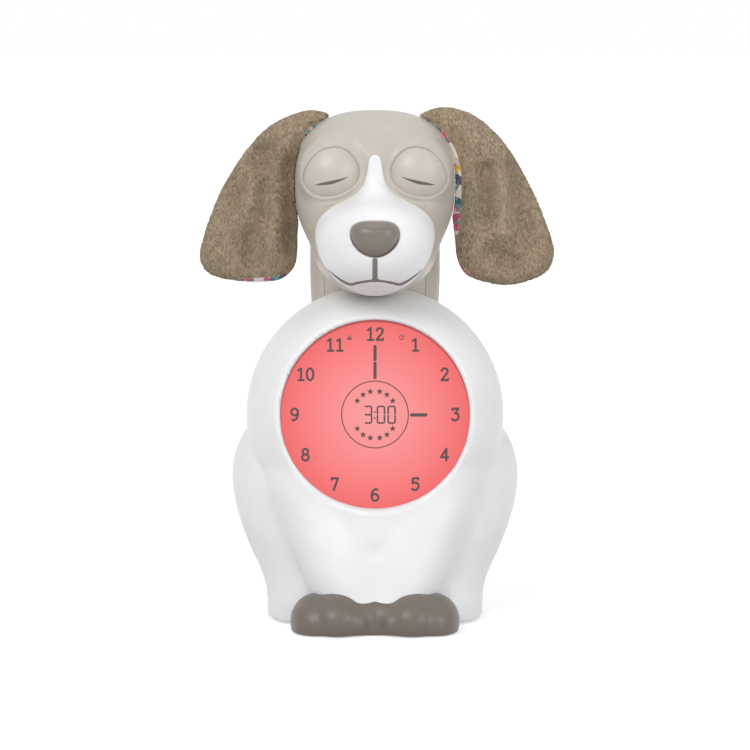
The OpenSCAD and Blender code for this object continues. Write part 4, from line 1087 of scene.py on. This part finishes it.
def eyeball(name, sign):
    centre = EYE * (sign, 1, 1)

    def inner_face(p):
        return EYE_FLAT - sign * p[:, 0]

    skin = net(ball(centre, EYE_R), centre - 17, centre + 17, EYE_STEP)
    skin = trimmed(skin, inner_face, rows(EYE_EDGE))
    sides = [within(OPEN_WAY, a) for a in OPEN_RINGS] + [within(GLINT_WAY, GLINT)]
    for side in sides:
        cut(skin, side, snap=0.12)
    at = middles(skin)
    slots = np.zeros(len(at), int)
    # the white of the eye, the iris, the pupil, and the painted highlight in the white's slot
    for slot, side in zip((1, 2, 3, 1), sides):
        slots[side(at) > 0] = slot
    piece = thick(skin, EYE_WALL, [(inner_face, EYE_EDGE)], slots).join(lash(centre, sign))
    materials = [LID, EYE_WHITE, EYE_IRIS, EYE_DARK, SLIT_DARK]
    make(name, piece, materials, "eyes", [name.replace("ball", "eye")])


eyeball("ball_left", -1)
eyeball("ball_right", 1)

# -------- dial print

PRINT_STEP = 0.25
PRINT_T = 0.07                          # height of the ink's outside over the lens
PRINT_CLEAR = 0.01                      # and of its underside
HOUR_R = 35.8                           # distance of the numerals from the dial's axis
DIGIT_APART = 3.7
DIGIT_SPREAD = 1.13                     # how much wider the numerals are than drawn below
INK_HALF = 0.5                          # half width of a numeral's stroke


def oval(x, y, rx, ry, n=28):
    a = np.linspace(0, 2 * pi, n + 1)
    return np.stack([x + rx * np.cos(a), y + ry * np.sin(a)], -1)


def curve(*points):
    return smooth_line(points, 5)


def line(*points):
    return np.array(points, float)


# Strokes of each numeral round its own middle
DIGITS = {
    0: [oval(0, 0, 1.3, 2.6)],
    1: [line((-0.9, 1.8), (0.15, 2.6), (0.15, -2.6)), line((-0.9, -2.6), (1.2, -2.6))],
    2: [curve((-1.2, 1.5), (-0.85, 2.3), (0, 2.6), (0.95, 2.2), (1.15, 1.3), (0.7, 0.2), (-1.2, -2.6)),
        line((-1.2, -2.6), (1.3, -2.6), (1.3, -2.1))],
    3: [line((-1.15, 2), (-1.15, 2.6), (1.15, 2.6), (-0.1, 0.5)),
        curve((-0.1, 0.5), (0.85, 0.3), (1.25, -0.75), (1, -1.9),
              (0.1, -2.6), (-0.75, -2.5), (-1.35, -2.05))],
    4: [line((0.65, -2.6), (0.65, 2.6), (-1.4, -1.1), (1.4, -1.1))],
    5: [line((1.1, 2.1), (1.1, 2.6), (-0.9, 2.6), (-1.05, 0.3)),
        curve((-1.05, 0.3), (-0.2, 0.7), (0.75, 0.5), (1.25, -0.4),
              (1.15, -1.6), (0.4, -2.5), (-0.4, -2.6), (-1.3, -2.15))],
    6: [curve((0.95, 2.35), (0.1, 2.55), (-0.85, 1.6), (-1.3, 0.1), (-1.3, -1.1)), oval(0, -1.1, 1.3, 1.5)],
    7: [line((-1.2, 2), (-1.2, 2.6), (1.25, 2.6), (-0.45, -2.6))],
    8: [oval(0, 1.35, 1.05, 1.25), oval(0, -1.2, 1.3, 1.4)],
    9: [curve((-0.95, -2.35), (-0.1, -2.55), (0.85, -1.6), (1.3, -0.1), (1.3, 1.1)), oval(0, 1.1, 1.3, 1.5)],
}
# Bars of a seven-segment digit: ends in units of its half width and half height
SEGMENTS = {"a": (-1, 1, 1, 1), "b": (1, 1, 1, 0), "c": (1, 0, 1, -1), "d": (-1, -1, 1, -1),
            "e": (-1, 0, -1, -1), "f": (-1, 1, -1, 0), "g": (-1, 0, 1, 0)}
SEGMENT_W, SEGMENT_H, SEGMENT_GAP, SEGMENT_HALF = 1.55, 3.7, 0.42, 0.38
TIME = [("abcdg", -3.1), ("abcdef", 2.65), ("abcdef", 7.4)]    # 3:00: bars and place of each digit
TIME_V = -0.1
COLON_U, COLON_V, DOT_HALF = -0.1, (1.1, -1.7), 0.42
# The rest of the print, as points and half width: two hands, the ring, a small clock and a small bell
MARKS = [
    (line((0, 30.3), (0, 24.4)), 0.72), (line((0, 22.9), (0, 16.4)), 0.72),
    (line((16.3, -0.2), (22.6, -0.2)), 0.75),
    (oval(0, 0, 14.85, 14.85, 120), 0.24),
    (oval(11.8, 34.4, 1.05, 1.05), 0.16), (line((11.8, 35), (11.8, 34.4), (12.25, 34.4)), 0.14),
    (line((-12.1, 33.7), (-10.7, 33.7)), 0.42), (oval(-11.4, 34.5, 0.5, 0.6), 0.14),
]
STAR_R, STAR_WAIST = 1.55, 0.45
STAR_ROWS = [(2.1, 10.2), (5.3, 8.8), (7.9, 6.1)]


def numerals():
    for hour in range(1, 13):
        a = radians(30 * hour)
        middle = HOUR_R * np.array([sin(a), cos(a)])
        digits = [int(d) for d in str(hour)]
        for k, d in enumerate(digits):
            shift = (k - (len(digits) - 1) / 2) * DIGIT_APART
            for points in DIGITS[d]:
                yield (points + (shift, 0)) * (DIGIT_SPREAD, 1) + middle, INK_HALF


def time_shown():
    for bars, u in TIME:
        for key in bars:
            x0, y0, x1, y1 = SEGMENTS[key]
            a, b = np.array([(x0 * SEGMENT_W, y0 * SEGMENT_H), (x1 * SEGMENT_W, y1 * SEGMENT_H)])
            short = SEGMENT_GAP * unit(b - a)
            yield line(a + short, b - short) + (u, TIME_V), SEGMENT_HALF
    for v in COLON_V:
        yield line((COLON_U, v), (COLON_U, v + 0.05)), DOT_HALF


def star(q, r):
    """Distance to the edge of a five-pointed star, below zero inside."""
    x, y = np.abs(q[:, 0]), q[:, 1]
    c, s = cos(pi / 5), sin(pi / 5)
    for side in (1, -1):
        fold = 2 * np.maximum(side * c * x - s * y, 0)
        x, y = x - fold * side * c, y + fold * s
    x, y = np.abs(x), y - r
    edge = np.array([STAR_WAIST * s, STAR_WAIST * c - 1])
    t = np.clip((x * edge[0] + y * edge[1]) / (edge @ edge), 0, r)
    return np.hypot(x - edge[0] * t, y - edge[1] * t) * np.sign(y * edge[0] - x * edge[1])


def ink(q):
    """Below zero where the dial is printed, in the dial's own coordinates."""
    f = np.full(len(q), 9.0)
    for points, half in [*numerals(), *time_shown(), *MARKS]:
        near = ((q > points.min(0) - 1.5) & (q < points.max(0) + 1.5)).all(1)
        gap, _ = line_distance(q[near], points)
        f[near] = np.minimum(f[near], gap - half)
    for u, v in STAR_ROWS:
        for place in ((u, v), (-u, v), (u, -v - 0.2), (-u, -v - 0.2)):
            near = (np.abs(q - place) < 2).all(1)
            f[near] = np.minimum(f[near], star(q[near] - place, STAR_R))
    return f


def inked(p):
    """The same for points in space."""
    q = p - TORSO_C
    return ink(np.stack([q[:, 0], q @ DIAL_UP], -1))


def ink_top(p):
    return (p - TORSO_C) @ DIAL_N - LENS_FACE - PRINT_T


def add_dial_print():
    n = int(2 * DIAL_R / PRINT_STEP)
    a = np.linspace(-DIAL_R, DIAL_R, n + 1)
    u, v = grid(a, a)
    points = TORSO_C + u[:, None] * [1, 0, 0] + v[:, None] * DIAL_UP + (LENS_FACE + PRINT_T) * DIAL_N
    f = ink(np.stack([u, v], -1))
    cells = grid_faces(n, n)
    cells = cells[f[cells].min(1) < PRINT_STEP]
    used = np.unique(cells)
    sheet = Skin(ink_top, points[used], np.searchsorted(used, cells))
    sheet = trimmed(sheet, inked, snap=0.05)
    make("dial_print", thick(sheet, PRINT_T - PRINT_CLEAR), [INK], "housing")


add_dial_print()

# -------- ears

EAR_STEP = 1.0
EAR_Y = 13                              # depth of an ear's middle at its root
EAR_T, EAR_ROUND = 4.9, 12              # half thickness, and distance over which the edge rounds off
EAR_LEAN = 1 / 12
EAR_GAP = 0.15                          # air between an ear and the head that it lies against
FOLD_DEPTH = 2.0
ROOT_Z = 227
SEAM_SINK, SEAM_HALF = 0.45, 0.7        # depth and half width of the pucker along the lining's seam
PLUSH_ROUGH, LINING_ROUGH = 0.22, 0.05  # how far the pile moves the surface of each cloth
NAP_SIZE = 1.5
PAINTED_FOLD_SHADE = 0.035                       # painted shade: how much darker the folds are drawn, and how much lighter their ridges
PILE_COUNT = 14000
FIBRE_LENGTH, FIBRE_HALF = 1.15, 0.1
# Outlines seen from the front, from the root outwards and round
EAR_LINES = {
    "right": [(19.9, 227.6), (30.3, 231.5), (42.8, 228.9), (53, 221.5), (63, 209.2), (73.3, 189.9),
              (80.1, 171.9), (81.2, 165.1), (78.9, 158.2), (72, 153.8), (59.8, 151), (47.3, 153.2),
              (41, 156), (37.2, 163), (36.2, 172), (35, 182), (34, 192), (33.6, 200),
              (32.9, 206.8), (31.5, 212.4), (29, 217.5), (24.3, 223)],
    "left": [(-20.9, 228), (-30.7, 230.1), (-45.5, 224.4), (-56.2, 214.8), (-65.7, 201.2), (-71.7, 189.9),
             (-77.8, 172.8), (-79.4, 162.8), (-74.8, 156), (-64, 153), (-52.3, 152.4), (-43.5, 153.4),
             (-38.2, 157), (-35.5, 162.8), (-35, 176.4), (-34, 190), (-33.6, 200), (-32.9, 206.8),
             (-31.5, 212.4), (-29, 217.5), (-24.2, 223)],
}
# Where the lining wraps round to the front: the seam from the root down and along the bottom
SEAM_LINES = {
    "right": [(22, 226), (29.4, 222.1), (33.4, 217.1), (36.7, 211.5), (38.6, 204.4), (39.2, 196.6),
              (38.9, 188.3), (38.6, 182.3), (37.9, 175.6), (37, 172.9), (36.9, 168), (38.4, 161.2),
              (42.9, 155.8), (46, 152)],
    "left": [(-22, 226), (-29.5, 222.5), (-32.2, 217.5), (-33.3, 211), (-33.5, 195), (-34, 176),
             (-35.6, 162), (-39.6, 157.2), (-45, 155.2), (-53, 154.4), (-60, 153.8), (-70, 152.6)],
}
# Soft folds: a line across the ear, how far it stands forward, and its half width
FOLDS = {
    "right": [([(50.6, 203), (50.6, 184)], -1.5, 4.5), ([(57.2, 199), (58.4, 176)], 1.3, 4.5),
              ([(64, 205), (67.3, 186), (70, 172)], -1.5, 5), ([(54, 165), (62, 162)], -1.6, 5),
              ([(45, 221), (56, 209)], 0.8, 6)],
    "left": [([(-53.1, 211.6), (-59.4, 197.8), (-64.9, 190.1)], -1.5, 4.5),
             ([(-56.7, 202), (-56.7, 186)], 1.1, 4), ([(-50, 211), (-49, 184)], -1.2, 4.5),
             ([(-55.8, 173), (-55.8, 165)], -1.5, 5.5), ([(-38, 205), (-38, 170)], -1.4, 5),
             ([(-45, 190), (-44, 170)], 0.8, 5)],
}


class Lookup:
    """Values on a flat grid, read off between its points."""

    def __init__(self, lo, hi, step, f):
        self.lo, self.step = np.array(lo, float), step
        n = np.ceil((np.array(hi) - lo) / step).astype(int) + 1
        at = np.stack(list(grid(np.arange(n[0]), np.arange(n[1]))), -1)
        self.values = f(self.lo + at * step).reshape(n)

    def __call__(self, q):
        at = (q - self.lo) / self.step
        i = np.clip(np.floor(at).astype(int), 0, np.array(self.values.shape) - 2)
        a, b = np.clip(at - i, 0, 1).T
        v, (i, j) = self.values, i.T
        near, far = v[i, j] * (1 - b) + v[i, j + 1] * b, v[i + 1, j] * (1 - b) + v[i + 1, j + 1] * b
        return near * (1 - a) + far * a


def closed(points, n=6):
    """A smooth closed line through points."""
    p = points[-2:] + points + points[:3]
    return smooth_line(p, n)[2 * n:-2 * n]


def depth_inside(q, outline):
    """Distance inside a closed line, below zero outside it."""
    gap, _ = line_distance(q, outline)
    inside = np.zeros(len(q), bool)
    for a, b in zip(outline, np.roll(outline, -1, 0)):
        if a[1] != b[1]:
            x = a[0] + (q[:, 1] - a[1]) / (b[1] - a[1]) * (b[0] - a[0])
            inside ^= ((a[1] > q[:, 1]) != (b[1] > q[:, 1])) & (q[:, 0] < x)
    return np.where(inside, gap, -gap)


def from_front(p):
    return p[:, [0, 2]]


def ear_fields(side):
    """The ear's outline, the stuffed ear as a field, one that is above zero on the lining, and its folds."""
    outline = closed(EAR_LINES[side])
    way = np.sign(outline[0, 0])
    seam_line = smooth_line(SEAM_LINES[side], 4)
    beside = np.array([(seam_line[-1, 0], 140), (0, 140), (way * 10, 240)])
    lined = np.concatenate([seam_line, beside])
    lines = [(smooth_line(points, 3), rise, half) for points, rise, half in FOLDS[side]]

    def folds(q):
        gaps = ((line_distance(q, points)[0], rise, half) for points, rise, half in lines)
        return FOLD_DEPTH * sum(rise * np.exp(-(gap / half) ** 2) for gap, rise, half in gaps)

    lo, hi = outline.min(0) - 8, outline.max(0) + 8
    depth = Lookup(lo, hi, 0.5, lambda q: depth_inside(q, outline))
    strip = Lookup(lo, hi, 0.5, lambda q: depth_inside(q, lined))
    drape = Lookup(lo, hi, 1.0, folds)

    def forward(p):
        """How far in front of the ear's middle a point is."""
        q = from_front(p)
        return EAR_Y + (q[:, 1] - ROOT_Z) * EAR_LEAN - drape(q) - p[:, 1]

    def lining(p):
        return trim(-0.4 - forward(p), strip(from_front(p)), 0.6)

    def stuffed(p):
        edge = np.maximum(0, 1 - depth(from_front(p)) / EAR_ROUND)
        pillow = (np.sqrt(edge ** 2 + (forward(p) / EAR_T) ** 2) - 1) * EAR_T
        pillow += SEAM_SINK * np.exp(-(lining(p) / SEAM_HALF) ** 2) * np.clip(1 - edge, 0.05, 1)
        return trim(pillow, EAR_GAP - head(p), 0.4)

    return outline, stuffed, lining, drape


def pile(points, normals, depths, size):
    """Moves points along their normals by a fine noise, for the pile of a fabric."""
    for k, (p, depth) in enumerate(zip(points / size, depths)):
        points[k] += normals[k] * depth * noise.noise(Vector(p))


def fibres(skin, chosen, count):
    """The pile of a plush: short pointed fibres, combed down and sunk a little into the cloth."""
    rng = np.random.default_rng(7)
    faces, centres = skin.faces[chosen], middles(skin)[chosen]
    pick = rng.integers(0, len(faces), count)
    n = skin.normals[faces[pick, 0]]
    comb = np.array([0, 0, -1.0]) + rng.normal(0, 0.3, (count, 3))
    comb = unit(comb - (comb * n).sum(1, keepdims=True) * n)
    across = np.cross(comb, n)
    root = centres[pick] + across * rng.normal(0, 0.3, (count, 1)) - 0.12 * n
    way = unit(comb + rng.uniform(0.25, 0.6, (count, 1)) * n)
    tip = root + way * FIBRE_LENGTH * rng.uniform(0.7, 1.2, (count, 1))
    corners = [root + across * FIBRE_HALF, root - across * FIBRE_HALF, root + 0.25 * n, tip]
    k = np.arange(count)[:, None] * 4
    sides = np.concatenate([k + [0, 2, 1], k + [0, 1, 3], k + [1, 2, 3], k + [2, 0, 3]])
    turned = np.linalg.det(np.stack([c - corners[0] for c in corners[1:]], 1)) < 0
    sides = np.where(np.tile(turned, 4)[:, None], sides[:, ::-1], sides)
    lean = unit(n + rng.normal(0, 0.1, (count, 3)))
    return np.stack(corners, 1).reshape(-1, 3), sides, np.repeat(lean, 4, 0)


def add_ear(side):
    outline, stuffed, lining, drape = ear_fields(side)
    (x0, z0), (x1, z1) = outline.min(0) - 3, outline.max(0) + 3
    ear = net(stuffed, (x0, EAR_Y - 16, z0), (x1, EAR_Y + 10, z1), EAR_STEP)
    cut(ear, lining, snap=0.15)
    slots = (lining(middles(ear)) > 0).astype(int)
    depths = np.where(lining(ear.points) < -0.3, PLUSH_ROUGH, LINING_ROUGH)
    pile(ear.points, ear.normals, depths, NAP_SIZE)
    piece = Piece().add(ear.points, ear.faces, vertex_normals(ear.points, ear.faces), slots)
    piece.add(*fibres(ear, lining(middles(ear)) < -0.9, PILE_COUNT))
    obj = make("plush_ear_" + side, piece, [PLUSH, LINING], None, ["ear_" + side])
    # painted shade: folds darker and their ridges lighter, by how far each part of the ear stands forward
    shade = np.clip(drape(from_front(np.concatenate(piece.points))) * PAINTED_FOLD_SHADE, -0.16, 0.08)
    fold_shade = obj.data.attributes.new("fold_shade", "FLOAT", "POINT")
    fold_shade.data.foreach_set("value", shade.astype(np.float32))
    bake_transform(obj)


add_ear("left")
add_ear("right")

# -------- finishes of the pieces shown as built

FINISHES = {
    "white_shell": (WHITE, ["base_plate", "battery_door", "control_panel", "speaker_grille", "speaker_ring"]),
    "light_box": (plastic("light_box", "#f2f1ec", 0.5, subsurface=0.2), ["light_box_shell", "dial_frame"]),
    "display": (plastic("display", "#c98f90", 0.25, coat=0.3), ["lcd_panel"]),
    "board": (board(), ["led_board", "main_board"]),
    "led": (plastic("led", "#efe6a4", 0.3, coat=0.3), ["leds"]),
    "dark_plastic": (DARK, ["tact_switches", "lock_switch_knob", "dc_jack", "speaker"]),
    "taupe_plastic": (TAUPE, [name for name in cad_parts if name.startswith("button_")]),
    "beige_shell": (BEIGE, ["neck_collar"]),
    "bracket": (plastic("bracket", "#8f8b85", 0.5), ["eye_bracket", "ear_clamp_left", "ear_clamp_right"]),
    "gear": (plastic("gear", "#e6e2d8", 0.35, subsurface=0.1), ["eye_gear", "idler_gear"]),
    "brass": (metal("brass", "#c9a24a", 0.28), ["motor_pinion"]),
    "steel": (SATIN_STEEL, ["eye_axle", "idler_pin", "eye_motor", "lock_switch_body", "battery_contacts",
                            *(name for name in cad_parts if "screw" in name)]),
    "cell": (cell_wrap(), ["batteries"]),
    "rubber": (plastic("rubber", "#46484b", 0.8, grain=0.00005), ["rubber_feet"]),
    "dial": (LENS, ["dial_lens"]),
}
for slot, (finish, nodes) in FINISHES.items():
    for node in nodes:
        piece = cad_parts[node]
        piece.data.materials.clear()
        piece.data.materials.append(finish)
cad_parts["dial_lens"].visible_diffuse = False     # its glow tints nothing round it

# -------- camera, light and floor

PHOTO = 750                             # side of the picture, in pixels
MM_PER_PIXEL = 0.455
SENSOR = 36                             # width of the camera's sensor
CAMERA_ELEVATION = radians(6)
DISTANCE = 1.6                          # metres, as are the places below
AIM = Vector((0, 0.006, 0.110))
AMBIENT = 0.54
FLOOR_GREY = (0.66, 0.66, 0.66, 1)
FLOOR_GLOW = 0.55, 0.9                  # near the clock and far from it
GLOW_FROM, GLOW_TO = 0.1, 0.32


def set_up(name, data, place, way):
    """A camera or a light at a place, turned to look along a way."""
    thing = bpy.data.objects.new(name, data)
    bpy.context.scene.collection.objects.link(thing)
    thing.location = place
    thing.rotation_mode = "QUATERNION"
    thing.rotation_quaternion = way.to_track_quat("-Z", "Y")
    return thing


def add_camera():
    data = bpy.data.cameras.new("camera")
    data.sensor_width = SENSOR
    data.lens = SENSOR * DISTANCE / (PHOTO * MM_PER_PIXEL * MM)
    back = Vector((0, -cos(CAMERA_ELEVATION), sin(CAMERA_ELEVATION)))
    bpy.context.scene.camera = set_up("camera", data, AIM + back * DISTANCE, -back)


def add_light(name, place, size, power):
    data = bpy.data.lights.new(name, "AREA")
    data.shape, data.size, data.energy = "DISK", size, power
    set_up(name, data, place, AIM - Vector(place))


def camera_rays(m):
    """1 for rays that show the background itself, straight, in a reflection or through the clear."""
    path = m.add("ShaderNodeLightPath").outputs
    return m.greater(m.greater(path["Is Camera Ray"], path["Is Glossy Ray"]), path["Is Transmission Ray"])


def add_floor():
    m = new_material("floor")
    m.principled(Base_Color=FLOOR_GREY, Roughness=1.0, Specular_IOR_Level=0.0)
    far = m.add("ShaderNodeVectorMath", {0: m.place()}, operation="LENGTH").outputs["Value"]
    strength = m.spread(far, *FLOOR_GLOW, GLOW_FROM, GLOW_TO)
    glow = m.add("ShaderNodeEmission", {"Color": (1, 1, 1, 1), "Strength": strength}).outputs[0]
    plain = m.shader.outputs["BSDF"]
    both = m.add("ShaderNodeAddShader", {0: plain, 1: glow}).outputs[0]
    mix = m.add("ShaderNodeMixShader", {0: camera_rays(m), 1: plain, 2: both})
    m.set(m.tree.nodes["Material Output"].inputs["Surface"], mix.outputs[0])
    bpy.ops.mesh.primitive_plane_add(size=40)
    floor = bpy.context.object
    floor.name = "floor"
    floor.data.materials.append(m.owner)


def add_world():
    world = bpy.data.worlds.new("studio")
    bpy.context.scene.world = world
    m = Nodes(world)
    back = m.tree.nodes["Background"]
    m.set(back.inputs["Color"], (1, 1, 1, 1))
    m.set(back.inputs["Strength"], m.spread(camera_rays(m), AMBIENT, 1.0))


add_camera()
add_floor()
add_world()
add_light("key", (-0.75, -1.2, 1.15), 1.1, 14)
add_light("fill", (1.1, -1.0, 0.6), 1.0, 6.5)
add_light("top", (0.0, 0.2, 1.5), 0.8, 1.5)
bpy.context.scene.view_settings.view_transform = "Standard"
